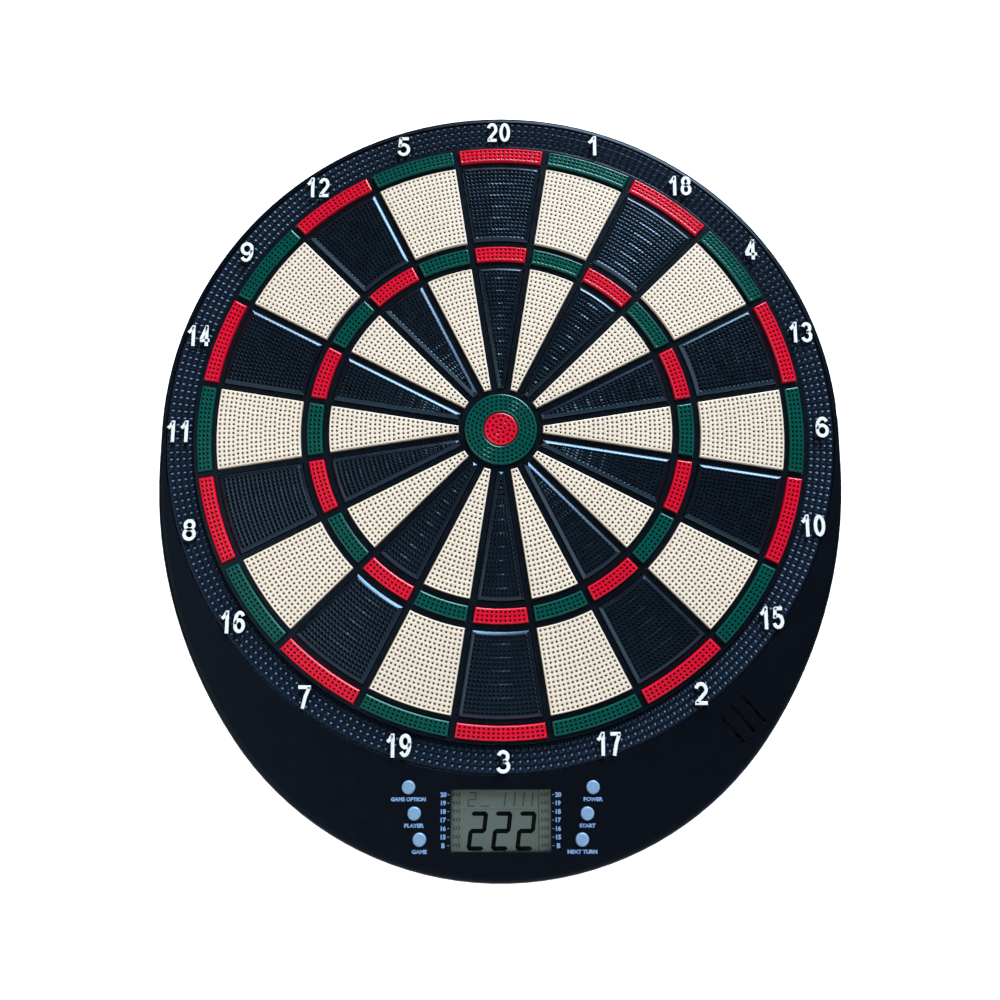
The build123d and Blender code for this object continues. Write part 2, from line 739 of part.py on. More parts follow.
with BuildPart() as battery_springs:
    for row, cell_z in enumerate(cell_places):
        negative = -1 if row % 2 == 0 else 1
        coil_start = (negative * (contact_x - spring_wire - spring_gap), -cell_level, cell_z)
        with BuildLine() as coil:
            Helix(coil_height / spring_turns, coil_height, cell_radius / 2,
                  center=coil_start, direction=(-negative, 0, 0))
        with BuildSketch(Plane(origin=coil.line @ 0, z_dir=coil.line % 0)):
            Circle(spring_wire)
        sweep(path=coil.line)
save(battery_springs, "battery_springs")

# ================================================================ behind the segments
with BuildPart() as return_mat:
    with BuildSketch(front_plane(membrane_front)):
        Circle(spider_radius + mat_border)
    extrude(amount=mat_thickness)
save(return_mat, "return_mat")

with BuildPart() as contact_membrane:
    with BuildSketch(front_plane(plate_front)):
        Circle(spider_radius + mat_border)
    extrude(amount=membrane_thickness)
save(contact_membrane, "contact_membrane")

plate_radius = boss_ring - boss_radius - plate_gap
with BuildPart() as backing_plate:
    with BuildSketch(front_plane(plate_back)):
        Circle(plate_radius)
        for angle in HOUSING_ANGLES + PLATE_ANGLES:
            with PolarLocations(boss_ring, 1, start_angle=angle):
                Circle(boss_radius + plate_ear_border)
    extrude(amount=plate_thickness)
    with BuildSketch(front_plane(plate_back)):
        for angle in HOUSING_ANGLES + PLATE_ANGLES:
            with PolarLocations(boss_ring, 1, start_angle=angle):
                Circle(screw_passage)
    extrude(amount=plate_thickness, mode=Mode.SUBTRACT)
save(backing_plate, "backing_plate")

# ================================================================ main board and display
with BuildPart() as main_board:
    with BuildSketch(front_plane(board_back)):
        with Locations((0, (board_top + board_bottom) / 2)):
            RectangleRounded(2 * board_half_width, board_top - board_bottom, board_corner)
        with Locations(*BOARD_SCREWS):
            Circle(small_shank_radius + board_screw_clearance, mode=Mode.SUBTRACT)
    extrude(amount=board_thickness)
save(main_board, "main_board")

with BuildPart() as chip_cover:
    with BuildSketch(front_plane(board_back)):
        with Locations((-tail_x, display_z + chip_cover_lift)):
            Circle(chip_cover_radius)
    extrude(amount=-chip_cover_height)
    fillet(chip_cover.faces().sort_by(Axis.Y)[-1].edges(), 0.75 * chip_cover_height)
save(chip_cover, "chip_cover")

# Two sockets for the film's tails, a crystal, two capacitors and a row of resistors.
with BuildPart() as board_components:
    with BuildSketch(front_plane(board_back)):
        for side in (-1, 1):
            with Locations((side * tail_x, tail_z)):
                Rectangle(2 * (tail_half_width + socket_border), socket_width)
    extrude(amount=-socket_height)
    with BuildSketch(front_plane(board_back)):
        with Locations((tail_x, display_z)):
            with Locations(crystal_offset):
                SlotOverall(crystal_length, crystal_width)
            with Locations(*CAPACITOR_OFFSETS):
                Circle(capacitor_radius)
        with Locations((-tail_x, display_z - resistor_drop)):
            with GridLocations(resistor_pitch, 1, resistor_count, 1):
                Rectangle(resistor_width, resistor_length)
    extrude(amount=-component_height)
save(board_components, "board_components")

with BuildPart() as membrane_tails:
    for side in (-1, 1):
        with BuildSketch(Plane.YZ.offset(side * tail_x)):
            with BuildLine():
                Polyline(
                    (-plate_front, -spider_radius),
                    (-plate_front, tail_z - membrane_thickness / 2),
                    (socket_height - board_back, tail_z - membrane_thickness / 2),
                    (socket_height - board_back, tail_z + membrane_thickness / 2),
                    (-membrane_front, tail_z + membrane_thickness / 2),
                    (-membrane_front, -spider_radius),
                    close=True,
                )
            make_face()
        extrude(amount=tail_half_width, both=True)
    with BuildSketch(front_plane(plate_front - 1)):
        Circle(spider_radius + mat_border)
    extrude(amount=membrane_thickness + 2, mode=Mode.SUBTRACT)
save(membrane_tails, "membrane_tails")

with BuildPart() as lcd_glass:
    with BuildSketch(front_plane(glass_back)):
        with Locations((0, display_z)):
            Rectangle(lens_width, lens_height)
    extrude(amount=glass_thickness)
save(lcd_glass, "lcd_glass")

with BuildPart() as display_lens:
    with BuildSketch(front_plane(lens_back)):
        with Locations((0, display_z)):
            Rectangle(lens_width, lens_height)
    extrude(amount=lens_thickness)
save(display_lens, "display_lens")

frame_width = lens_width + 2 * frame_clearance
frame_height = lens_height + 2 * frame_clearance
with BuildPart() as lcd_frame:
    with BuildSketch(front_plane(board_front)):
        with Locations((0, display_z)):
            Rectangle(frame_width + 2 * frame_wall, frame_height + 2 * frame_wall)
            Rectangle(frame_width, frame_height, mode=Mode.SUBTRACT)
    extrude(amount=glass_front - board_front)
save(lcd_frame, "lcd_frame")

with BuildPart() as zebra_strips:
    with BuildSketch(front_plane(board_front)):
        with Locations((0, display_z)):
            with GridLocations(1, lens_height - strip_width, 1, 2):
                Rectangle(display_width, strip_width)
    extrude(amount=strip_height)
save(zebra_strips, "zebra_strips")

# ================================================================ buttons and key mats
mat_outer_x = BUTTON_PLACES[0][0] + button_radius + key_mat_outer_border
mat_inner_x = BUTTON_PLACES[-1][0] - button_radius - key_mat_inner_border
mat_top_z = BUTTON_PLACES[0][1] + button_radius - key_mat_top_inset
mat_bottom_z = BUTTON_PLACES[-1][1] - button_radius - key_mat_bottom_border
for side, side_name, button_names in ((-1, "left", LEFT_BUTTONS), (1, "right", RIGHT_BUTTONS)):
    for (button_x, button_z), button_name in zip(BUTTON_PLACES, button_names):
        button_place = (side * (display_width / 2 + button_x), display_z + button_z)
        with BuildPart() as button:
            with BuildSketch(front_plane(button_back)):
                with Locations(button_place):
                    Circle(button_radius)
            extrude(amount=button_front - button_back)
            fillet(button.faces().sort_by(Axis.Y)[0].edges(), button_edge)
            with BuildSketch(front_plane(button_back)):
                with Locations(button_place):
                    Circle(button_radius + button_flange)
            extrude(amount=button_flange_thickness)
        save(button, button_name)
    with BuildPart() as key_mat:
        with BuildSketch(front_plane(board_front)):
            with Locations((side * (display_width + mat_outer_x + mat_inner_x) / 2,
                            display_z + (mat_top_z + mat_bottom_z) / 2)):
                RectangleRounded(mat_outer_x - mat_inner_x, mat_top_z - mat_bottom_z,
                                 key_mat_corner)
        extrude(amount=key_mat_thickness)
    save(key_mat, f"{side_name}_key_mat")

# ================================================================ speaker
with BuildPart() as speaker:
    with BuildSketch(front_plane(magnet_front)):
        with Locations((speaker_x, speaker_z)):
            Circle(speaker_radius - basket_narrowing)
    with BuildSketch(front_plane(speaker_front - speaker_rim)):
        with Locations((speaker_x, speaker_z)):
            Circle(speaker_radius)
    loft()
    with BuildSketch(front_plane(speaker_front - speaker_rim)):
        with Locations((speaker_x, speaker_z)):
            Circle(speaker_radius)
    extrude(amount=speaker_rim)
    with BuildSketch(front_plane(magnet_back)):
        with Locations((speaker_x, speaker_z)):
            Circle(magnet_radius)
    extrude(amount=magnet_height)
    # The cone is a shallow dish in the front.
    with BuildSketch(front_plane(speaker_front)):
        with Locations((speaker_x, speaker_z)):
            Circle(speaker_radius - gasket_width)
    extrude(amount=-cone_depth, taper=cone_taper, mode=Mode.SUBTRACT)
save(speaker, "speaker")

with BuildPart() as speaker_gasket:
    with BuildSketch(front_plane(speaker_front)):
        with Locations((speaker_x, speaker_z)):
            Circle(speaker_radius)
            Circle(speaker_radius - gasket_width, mode=Mode.SUBTRACT)
    extrude(amount=gasket_thickness)
save(speaker_gasket, "speaker_gasket")

# ================================================================ screws
with BuildPart(front_plane(counterbore_depth)) as housing_screws:
    for angle in HOUSING_ANGLES:
        with PolarLocations(boss_ring, 1, start_angle=angle):
            PanScrew(screw_head_radius, screw_head_height, screw_shank_radius,
                     screw_reach - counterbore_depth)
    with Locations(*CHIN_BOSSES):
        PanScrew(screw_head_radius, screw_head_height, screw_shank_radius,
                 screw_reach - counterbore_depth)
save(housing_screws, "housing_screws")

with BuildPart(front_plane(plate_back)) as plate_screws:
    for angle in PLATE_ANGLES:
        with PolarLocations(boss_ring, 1, start_angle=angle):
            PanScrew(screw_head_radius, screw_head_height, screw_shank_radius,
                     screw_reach - plate_back)
save(plate_screws, "plate_screws")

with BuildPart(front_plane(bars_back)) as spider_screws:
    for angle in SPIDER_ANGLES:
        with PolarLocations(boss_ring, 1, start_angle=angle):
            PanScrew(small_head_radius, small_head_height, small_shank_radius,
                     ring_back - pilot_floor - tip_gap - bars_back)
save(spider_screws, "spider_screws")

with BuildPart(front_plane(board_back)) as board_screws:
    with Locations(*BOARD_SCREWS):
        PanScrew(small_head_radius, small_head_height, small_shank_radius,
                 face_back - pilot_floor - tip_gap - board_back)
save(board_screws, "board_screws")

# ================================================================ leads
class Lead(BasePartObject):
    """A lead as straight runs joined by round bends, each bend 0.45 of its shorter run over
    the tangent of half its turn."""

    def __init__(self, points, rotation=(0, 0, 0), align=None, mode=Mode.ADD):
        route = [Vector(*point) for point in points]
        bends = []
        for before, corner, after in zip(route, route[1:], route[2:]):
            turn_angle = (corner - before).get_angle(after - corner)
            shorter = min((corner - before).length, (after - corner).length)
            bends.append(0.45 * shorter / math.tan(math.radians(turn_angle / 2)))
        print("lead bend radii:", [round(bend, 1) for bend in bends])
        with BuildPart() as tube:
            with BuildLine() as path:
                FilletPolyline(*route, radius=bends)
            with BuildSketch(Plane(origin=path.line @ 0, z_dir=path.line % 0)):
                Circle(lead_radius)
            sweep(path=path.line)
        super().__init__(part=tube.part, rotation=rotation, align=align, mode=mode)


lead_level = magnet_back - 1.0
with BuildPart() as speaker_leads:
    for lift in (0.0, lead_pitch):
        Lead((
            (speaker_x - magnet_radius + 1, -(magnet_front - lead_radius - 0.4), speaker_z - 9 + lift),
            (speaker_x - 22, -lead_level, speaker_z - 17 + lift),
            (board_half_width + 12, -lead_level, display_z + 9 + lift),
            (board_half_width - 4, -(board_back - lead_radius), display_z + 4 + lift),
        ))
save(speaker_leads, "speaker_leads")

with BuildPart() as battery_leads:
    for lift in (0.0, lead_pitch):
        Lead((
            (box_half_width + box_wall + 0.1, -cell_level, box_z + lift),
            (box_half_width + box_wall + 5, -cell_level, box_z + lift),
            (box_half_width + box_wall + 9, -(board_back - lead_radius), box_z + 2 + lift),
        ))
save(battery_leads, "battery_leads")
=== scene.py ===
"""Electronic dartboard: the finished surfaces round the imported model."""

import json
import math

import bmesh
import bpy
import numpy as np
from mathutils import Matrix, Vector


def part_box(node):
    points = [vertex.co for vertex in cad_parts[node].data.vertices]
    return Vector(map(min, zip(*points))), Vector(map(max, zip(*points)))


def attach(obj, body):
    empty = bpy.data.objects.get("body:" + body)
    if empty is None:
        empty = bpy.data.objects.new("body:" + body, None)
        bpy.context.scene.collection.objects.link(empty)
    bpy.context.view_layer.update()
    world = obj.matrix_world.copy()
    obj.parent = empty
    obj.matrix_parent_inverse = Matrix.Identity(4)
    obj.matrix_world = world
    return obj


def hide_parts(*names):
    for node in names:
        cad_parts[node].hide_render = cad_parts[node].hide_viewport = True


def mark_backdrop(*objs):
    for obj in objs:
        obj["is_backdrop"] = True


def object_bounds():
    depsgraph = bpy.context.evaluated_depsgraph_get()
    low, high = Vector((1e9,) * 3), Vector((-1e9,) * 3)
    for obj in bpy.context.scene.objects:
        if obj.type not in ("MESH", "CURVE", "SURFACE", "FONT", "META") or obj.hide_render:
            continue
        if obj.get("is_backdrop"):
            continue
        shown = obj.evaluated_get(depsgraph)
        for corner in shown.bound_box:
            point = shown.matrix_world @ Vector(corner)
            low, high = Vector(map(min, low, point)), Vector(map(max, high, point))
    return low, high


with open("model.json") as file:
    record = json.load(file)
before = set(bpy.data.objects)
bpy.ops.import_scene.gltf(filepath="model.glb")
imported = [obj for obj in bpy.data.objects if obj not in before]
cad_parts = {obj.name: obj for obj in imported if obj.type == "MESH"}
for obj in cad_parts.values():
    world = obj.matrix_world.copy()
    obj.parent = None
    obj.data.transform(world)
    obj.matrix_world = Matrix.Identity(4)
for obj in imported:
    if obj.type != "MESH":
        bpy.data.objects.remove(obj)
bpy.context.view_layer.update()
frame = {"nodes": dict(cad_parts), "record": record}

bl_info = {
    "name": "Electronic Dartboard",
    "version": (1, 0, 0),
    "blender": (4, 5, 0),
    "location": "View3D > Sidebar > Dartboard",
    "description": "Builds a dartboard's perforated segments, studded ring, display and finishes",
    "category": "Object",
}

HOUSING = "housing"
SECTORS = 20
SECTOR_NUMBERS = (20, 1, 18, 4, 13, 6, 10, 15, 2, 17, 3, 19, 7, 16, 8, 11, 14, 9, 12, 5)
SECTOR_STEP = 2 * math.pi / SECTORS
MM = 0.001

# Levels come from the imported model.  A level is a distance in front of the wall.
SEGMENT_FACE = -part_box("sector_20")[0].y
SEGMENT_BACK = -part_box("sector_20")[1].y
TARGET_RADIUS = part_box("sector_20")[1].z - 1.0 * MM      # a hidden rim reaches 1 mm further
RING_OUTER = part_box("number_ring")[1].x
COVER_FACE = -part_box("front_cover")[0].y
GLASS_FACE = -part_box("lcd_glass")[0].y
DISPLAY_LOW, DISPLAY_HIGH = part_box("display_lens")
FLANGE_LEVEL = SEGMENT_BACK + 1.8 * MM         # front of the hidden rim round a segment's back
FLANGE_REACH = 1.0 * MM
BULL_FLANGE_REACH = 1.4 * MM
SHOULDER_LEVEL = FLANGE_LEVEL + 1.6 * MM       # step in the outer bull's bore
SIDE_SHADE = 0.9                               # painted shade: how much the bulls' sides are darkened


# ---------------- what a user may change

def length(name, text, default):
    """A distance, given in millimetres and kept in metres."""
    return bpy.props.FloatProperty(name=name, description=text, default=default * MM,
                                   min=0.0, precision=5, unit="LENGTH", subtype="DISTANCE")


def colour(name, text, default):
    """A plain colour."""
    return bpy.props.FloatVectorProperty(name=name, description=text, default=default,
                                         size=3, min=0.0, max=1.0, subtype="COLOR")


class DartboardSizes(bpy.types.PropertyGroup):
    """Sizes of the moulded details, given in millimetres."""
    cell_gap: length("Gap", "Gap between the segments of neighbouring sectors", 3.8)
    double_width: length("Double", "Width of the doubles", 7.9)
    double_bar: length("Double bar", "Bar inside the doubles", 3.2)
    triple_radius: length("Triple radius", "Outer edge of the triples", 108.5)
    triple_width: length("Triple", "Width of the triples", 8.4)
    triple_outer_bar: length("Triple outer bar", "Bar outside the triples", 3.8)
    triple_inner_bar: length("Triple inner bar", "Bar inside the triples", 4.0)
    outer_bull: length("Outer bull", "Radius of the outer bull", 20.3)
    bull_bore: length("Bull bore", "Radius of the outer bull's bore", 9.8)
    inner_bull: length("Inner bull", "Radius of the inner bull", 9.4)
    bull_bar: length("Bull bar", "Bar round the outer bull", 3.5)
    hole_radius: length("Hole", "Radius of a dart-tip hole", 0.62)
    hole_depth: length("Hole depth", "Depth of a dart-tip hole", 3.0)
    funnel: length("Funnel", "Depth of the funnel round a hole", 0.27)
    dip: length("Dip", "How far a ridge sinks between its crossings", 0.15)
    black_rim: length("Black rim", "Width of the sloping rim round a black single", 2.0)
    cream_rim: length("Cream rim", "Width of the sloping rim round a cream single", 0.4)
    ring_rim: length("Ring rim", "Width of the sloping rim round a double or triple", 0.7)
    stud_height: length("Stud", "Height of the catch ring's studs", 1.0)
    ring_dish: length("Ring dish", "How much lower the catch ring's inner edge is", 1.8)
    numeral_height: length("Numeral", "Height of the numbers", 12.0)
    numeral_radius: length("Numeral radius", "From the bull to the middle of a number", 180.6)


class DartboardColours(bpy.types.PropertyGroup):
    """Colours of the mouldings and prints."""
    black: colour("Black", "Black singles", (0.0025, 0.0045, 0.0085))
    cream: colour("Cream", "Cream singles", (0.90, 0.755, 0.61))
    red: colour("Red", "Red doubles and triples", (0.76, 0.004, 0.030))
    green: colour("Green", "Green doubles and triples", (0.0005, 0.072, 0.058))
    housing: colour("Housing", "Front and rear covers", (0.0030, 0.0038, 0.0070))
    ring: colour("Ring", "Studded catch ring", (0.0055, 0.0095, 0.0210))
    print_white: colour("Print", "Numbers and legends", (0.88, 0.90, 0.92))
    legend: colour("Legend", "Small printed legends", (0.20, 0.36, 0.66))
    button: colour("Buttons", "Push buttons", (0.22, 0.36, 0.56))
    display: colour("Display", "Display glass", (0.150, 0.185, 0.165))
    mark: colour("Marks", "Faint marks on the display", (0.085, 0.105, 0.095))
    digit: colour("Digits", "Dark digits on the display", (0.001, 0.002, 0.002))


# ---------------- mesh tools

WELD_DISTANCE = 1e-7


class Shape:
    """Gathers points and polygons.  Points are (right, up, level) on the board: level is the
    distance in front of the wall."""

    def __init__(self):
        self.points = []
        self.marks = []
        self.count = 0
        self.polygons = []
        self.slots = []

    def add(self, right, up, level, mark=0.0):
        """Adds a line of points and gives their numbers.  mark is kept as a point attribute."""
        right, up, level, mark = np.broadcast_arrays(right, up, level, mark)
        self.points.append(np.stack([right.ravel(), up.ravel(), level.ravel()], 1))
        self.marks.append(mark.ravel().astype(float))
        numbers = np.arange(self.count, self.count + right.size)
        self.count += right.size
        return numbers.reshape(right.shape)

    def face(self, polygons, slot=0):
        """Adds rows of point numbers, one polygon each."""
        polygons = np.atleast_2d(polygons)
        self.polygons.append(polygons)
        self.slots.append(np.full(len(polygons), slot))

    def join(self, other, slot=0, turn=0.0):
        """Adds another shape, turned clockwise as seen from the front."""
        points = np.concatenate(other.points)
        cosine, sine = math.cos(turn), math.sin(turn)
        right = points[:, 0] * cosine + points[:, 1] * sine
        up = points[:, 1] * cosine - points[:, 0] * sine
        start = self.count
        self.add(right, up, points[:, 2], np.concatenate(other.marks))
        for polygons in other.polygons:
            self.face(polygons + start, slot)


def make_object(name, shape, materials, body, replaces=(), sharp=40.0, weld=False):
    """Puts a shape into a mesh, sets its finish and what it rides on."""
    mesh = bpy.data.meshes.new(name)
    points = np.concatenate(shape.points)
    places = np.stack([points[:, 0], -points[:, 2], points[:, 1]], 1)
    totals = np.concatenate([np.full(len(p), p.shape[1]) for p in shape.polygons])
    corners = np.concatenate([p.ravel() for p in shape.polygons])
    mesh.vertices.add(len(places))
    mesh.vertices.foreach_set("co", places.ravel())
    mesh.loops.add(len(corners))
    mesh.loops.foreach_set("vertex_index", corners.astype(np.int32))
    mesh.polygons.add(len(totals))
    starts = np.concatenate([[0], np.cumsum(totals)[:-1]])
    mesh.polygons.foreach_set("loop_start", starts.astype(np.int32))
    mesh.polygons.foreach_set("loop_total", totals.astype(np.int32))
    mesh.polygons.foreach_set("material_index", np.concatenate(shape.slots).astype(np.int32))
    mesh.polygons.foreach_set("use_smooth", np.ones(len(totals), bool))
    mesh.update(calc_edges=True)
    # The shade attribute is painted shade: how far each point's colour is darkened towards black,
    # most in the holes.
    mark = mesh.attributes.new("shade", "FLOAT", "POINT")
    mark.data.foreach_set("value", np.concatenate(shape.marks).astype(np.float32))
    if weld:
        work = bmesh.new()
        work.from_mesh(mesh)
        bmesh.ops.remove_doubles(work, verts=work.verts, dist=WELD_DISTANCE)
        work.to_mesh(mesh)
        work.free()
    mesh.set_sharp_from_angle(angle=math.radians(sharp))
    for material in materials:
        mesh.materials.append(material)
    piece = bpy.data.objects.new(name, mesh)
    bpy.context.scene.collection.objects.link(piece)
    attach(piece, body)
    if replaces:
        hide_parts(*replaces)
    return piece


def quads_between(lower, upper):
    """Four-sided faces between two equal lines of points, the upper one further from the bull."""
    return np.stack([lower[:-1], lower[1:], upper[1:], upper[:-1]], 1)


def grid_faces(grid):
    """Four-sided faces between the neighbours of a grid of point numbers."""
    return np.stack([grid[:-1, :-1], grid[:-1, 1:], grid[1:, 1:], grid[1:, :-1]], 2)


def triangles_between(lower, upper):
    """Three-sided faces between two lines of points with different counts: every edge of one
    line goes to the point of the other that lies level with the edge's middle."""
    lower_middle = (np.arange(len(lower) - 1) + 0.5) / (len(lower) - 1)
    upper_middle = (np.arange(len(upper) - 1) + 0.5) / (len(upper) - 1)
    to_upper = upper[np.searchsorted(upper_middle, lower_middle - 1e-9, side="left")]
    to_lower = lower[np.searchsorted(lower_middle, upper_middle + 1e-9, side="right")]
    rising = np.stack([lower[:-1], lower[1:], to_upper], 1)
    falling = np.stack([to_lower, upper[1:], upper[:-1]], 1)
    return np.concatenate([rising, falling])


# ---------------- perforated fields

RIDGE = 0.11 * MM            # half the width of the ridge between two rows of holes
BORDER_SINK = 0.04 * MM      # how far a field's border lies under its highest ridges
RIM_SLOPE = 0.60             # how steeply a rim falls
RIM_ROUND = 0.22 * MM        # how far its outer edge is rounded off
RIM_STEPS = (0.88, 0.6, 0.30, 0.10, 0.0)  # loops of the rim, as shares of its width
HOLE_CORNERS = np.radians(np.arange(-135, 225, 45))
HOLE_TAPER = 0.9             # a hole's floor as a share of its mouth
MOUTH_SHADE = 0.35           # painted shade: how much a hole's mouth is darkened, its floor is wholly dark


def rim_sink(share, width):
    """How far a rim has sunk at a share of its width from the edge: a straight slope with a
    soft shoulder, and near the edge a fourth power that rounds it off."""
    across = 1 - share
    return BORDER_SINK + RIM_SLOPE * width * across ** 1.05 + RIM_ROUND * across ** 8


def perforate(shape, place, counts, depth, sizes, closed=False):
    """Rows of cells, each a square of ridges that runs down a funnel into an eight-sided hole.
    place(u, t) gives the point at u from -1 to 1 across and t from 0 to 1 outwards, depth is
    the field's size outwards.  Ridges are highest where they cross, and the field's border
    is nearly level.  A closed field has no border at its sides.  Gives the lines of point numbers
    round the field."""
    def line(across, t, sink):
        return shape.add(*place(across, np.full(len(across), t)), SEGMENT_FACE - sink)

    rows = len(counts)
    edges = np.linspace(0, 1, rows + 1)
    ridge = RIDGE / depth
    left, right, side_t = [], [], []
    first = above = None
    for row, count in enumerate(counts):
        low = edges[row] + (ridge if row else 0)
        high = edges[row + 1] - (ridge if row < rows - 1 else 0)
        middle = (low + high) / 2
        across = np.linspace(-1, 1, 2 * count + 1)
        sink = np.where(np.arange(2 * count + 1) % 2, sizes.dip, 0.0)
        side_sink = np.full(count + 1, sizes.dip)
        if not closed:
            sink[[0, -1]] = side_sink[[0, -1]] = BORDER_SINK
        border = np.full_like(sink, BORDER_SINK)
        bottom = line(across, low, sink if row else border)
        sides = line(across[::2], middle, side_sink)
        top = line(across, high, sink if row < rows - 1 else border)
        x, y = place(across[1::2], np.full(count, middle))
        bearing = np.arctan2(x, y)[:, None]
        along, out = np.cos(HOLE_CORNERS), np.sin(HOLE_CORNERS)
        step_x = along * np.cos(bearing) + out * np.sin(bearing)
        step_y = out * np.cos(bearing) - along * np.sin(bearing)
        radius = sizes.hole_radius
        mouth = shape.add(x[:, None] + radius * step_x, y[:, None] + radius * step_y,
                          SEGMENT_FACE - sizes.funnel, MOUTH_SHADE)
        radius = HOLE_TAPER * radius
        floor = shape.add(x[:, None] + radius * step_x, y[:, None] + radius * step_y,
                          SEGMENT_FACE - sizes.hole_depth, 1.0)
        edge = np.stack([bottom[:-1:2], bottom[1::2], bottom[2::2], sides[1:],
                         top[2::2], top[1::2], top[:-1:2], sides[:-1]], 1)
        for outer_ring, inner_ring in ((edge, mouth), (mouth, floor)):
            ring = np.stack([outer_ring, np.roll(outer_ring, -1, 1),
                             np.roll(inner_ring, -1, 1), inner_ring], 2)
            shape.face(ring.reshape(-1, 4))
        shape.face(floor)
        if above is not None:
            shape.face(triangles_between(above, bottom))
        above = top
        first = bottom if first is None else first
        left.append([bottom[0], sides[0], top[0]])
        right.append([bottom[-1], sides[-1], top[-1]])
        side_t.append([low, middle, high])
    return first, above, np.ravel(left), np.ravel(right), np.ravel(side_t)


SEGMENT_SIDE_SHADE = 0.6     # painted shade: how much a segment's side and its hidden back are darkened
SEGMENT_BACK_SHADE = 0.8


def segment(inner, outer, counts, width, sizes):
    """One segment.  Its face is a perforated field, its rim of that width slopes to straight
    sides, and a hidden flange runs round its back.  Every loop round it is the outline moved
    inwards: arcs about the bull at both ends, and sides a fixed distance from the sector's edges."""
    shape = Shape()
    half_gap = sizes.cell_gap / 2

    def outline(u, t, inset):
        radius = inner + inset + t * (outer - inner - 2 * inset)
        angle = u * (SECTOR_STEP / 2 - np.arcsin((half_gap + inset) / radius))
        return radius * np.sin(angle), radius * np.cos(angle)

    def field(u, t):
        return outline(u, t, width)

    bottom, top, left, right, side_t = perforate(
        shape, field, counts, outer - inner - 2 * width, sizes)
    loop = np.concatenate([bottom, right[1:-1], top[::-1], left[::-1][1:-1]])
    along_bottom = np.linspace(-1, 1, len(bottom))
    along_top = np.linspace(1, -1, len(top))
    edge = np.ones(len(side_t) - 2)
    u = np.concatenate([along_bottom, edge, along_top, -edge])
    t = np.concatenate([np.zeros(len(bottom)), side_t[1:-1], np.ones(len(top)),
                        side_t[::-1][1:-1]])
    rim = [(share * width, SEGMENT_FACE - rim_sink(share, width), 0.0) for share in RIM_STEPS]
    steps = (
        *rim,
        (0.0, FLANGE_LEVEL, SEGMENT_SIDE_SHADE),
        (-FLANGE_REACH, FLANGE_LEVEL, SEGMENT_BACK_SHADE),
        (-FLANGE_REACH, SEGMENT_BACK, SEGMENT_BACK_SHADE),
    )
    for inset, level, mark in steps:
        x, y = outline(u, t, inset)
        following = shape.add(x, y, level, mark)
        closed, closed_next = np.append(loop, loop[0]), np.append(following, following[0])
        shape.face(quads_between(closed_next, closed))
        loop = following
    shape.face(loop[::-1])
    return shape


def ring_bounds(sizes):
    """Inner and outer radius of the doubles, outer singles, triples and inner singles."""
    double_inner = TARGET_RADIUS - sizes.double_width
    triple_inner = sizes.triple_radius - sizes.triple_width
    return (
        (double_inner, TARGET_RADIUS),
        (sizes.triple_radius + sizes.triple_outer_bar, double_inner - sizes.double_bar),
        (triple_inner, sizes.triple_radius),
        (sizes.outer_bull + sizes.bull_bar, triple_inner - sizes.triple_inner_bar),
    )


HOLE_PITCH = 2.62 * MM       # from hole to hole across a single
DOUBLE_HOLES = [18] * 3      # how many holes in each row of a double
TRIPLE_HOLES = [11] * 3
OUTER_SINGLE_ROWS = 18
INNER_SINGLE_ROWS = 27
SECTOR_FINISHES = {True: ("black_segment", "red_segment"),
                   False: ("cream_segment", "green_segment")}      # by whether it is dark


def hole_counts(inner, outer, rows, half_gap):
    """How many holes fit across each row, at about the same pitch in every row."""
    middle = inner + (np.arange(rows) + 0.5) * (outer - inner) / rows
    width = 2 * middle * (SECTOR_STEP / 2 - np.arcsin(half_gap / middle))
    return np.maximum(1, np.round(width / HOLE_PITCH)).astype(int)


class DARTBOARD_OT_segments(bpy.types.Operator):
    """Make the twenty sectors of perforated segments"""
    bl_idname = "dartboard.segments"
    bl_label = "Segments"

    def execute(self, context):
        sizes = context.scene.dartboard_sizes
        doubles, outer_singles, triples, inner_singles = ring_bounds(sizes)
        half_gap = sizes.cell_gap / 2
        scoring = (
            (doubles, DOUBLE_HOLES, 1),
            (outer_singles, hole_counts(*outer_singles, OUTER_SINGLE_ROWS, half_gap), 0),
            (triples, TRIPLE_HOLES, 1),
            (inner_singles, hole_counts(*inner_singles, INNER_SINGLE_ROWS, half_gap), 0),
        )
        shapes = {
            dark: [(segment(*span, counts, sizes.ring_rim if slot else single_rim, sizes), slot)
                   for span, counts, slot in scoring]
            for dark, single_rim in ((True, sizes.black_rim), (False, sizes.cream_rim))
        }
        for place, number in enumerate(SECTOR_NUMBERS):
            dark = place % 2 == 0
            finishes = SECTOR_FINISHES[dark]
            sector = Shape()
            for shape, slot in shapes[dark]:
                sector.join(shape, slot, place * SECTOR_STEP)
            node = f"sector_{number:02d}"
            make_object(f"segments_{number:02d}", sector, [finish(name) for name in finishes],
                        node, (node,))
        return {"FINISHED"}


def turned_lines(shape, lines, start, outwards):
    """Carries a line of points round the bull through a profile of (radius, level, mark)."""
    line = start
    angle = np.linspace(-math.pi, math.pi, len(start))
    for radius, level, mark in lines:
        following = shape.add(radius * np.sin(angle), radius * np.cos(angle), level, mark)
        pair = (line, following) if outwards else (following, line)
        shape.face(quads_between(*pair))
        line = following
    return line


def ring_field(low, high):
    """Places points on a whole ring between two radii."""
    def place(u, t):
        radius = low + t * (high - low)
        return radius * np.sin(u * math.pi), radius * np.cos(u * math.pi)
    return place


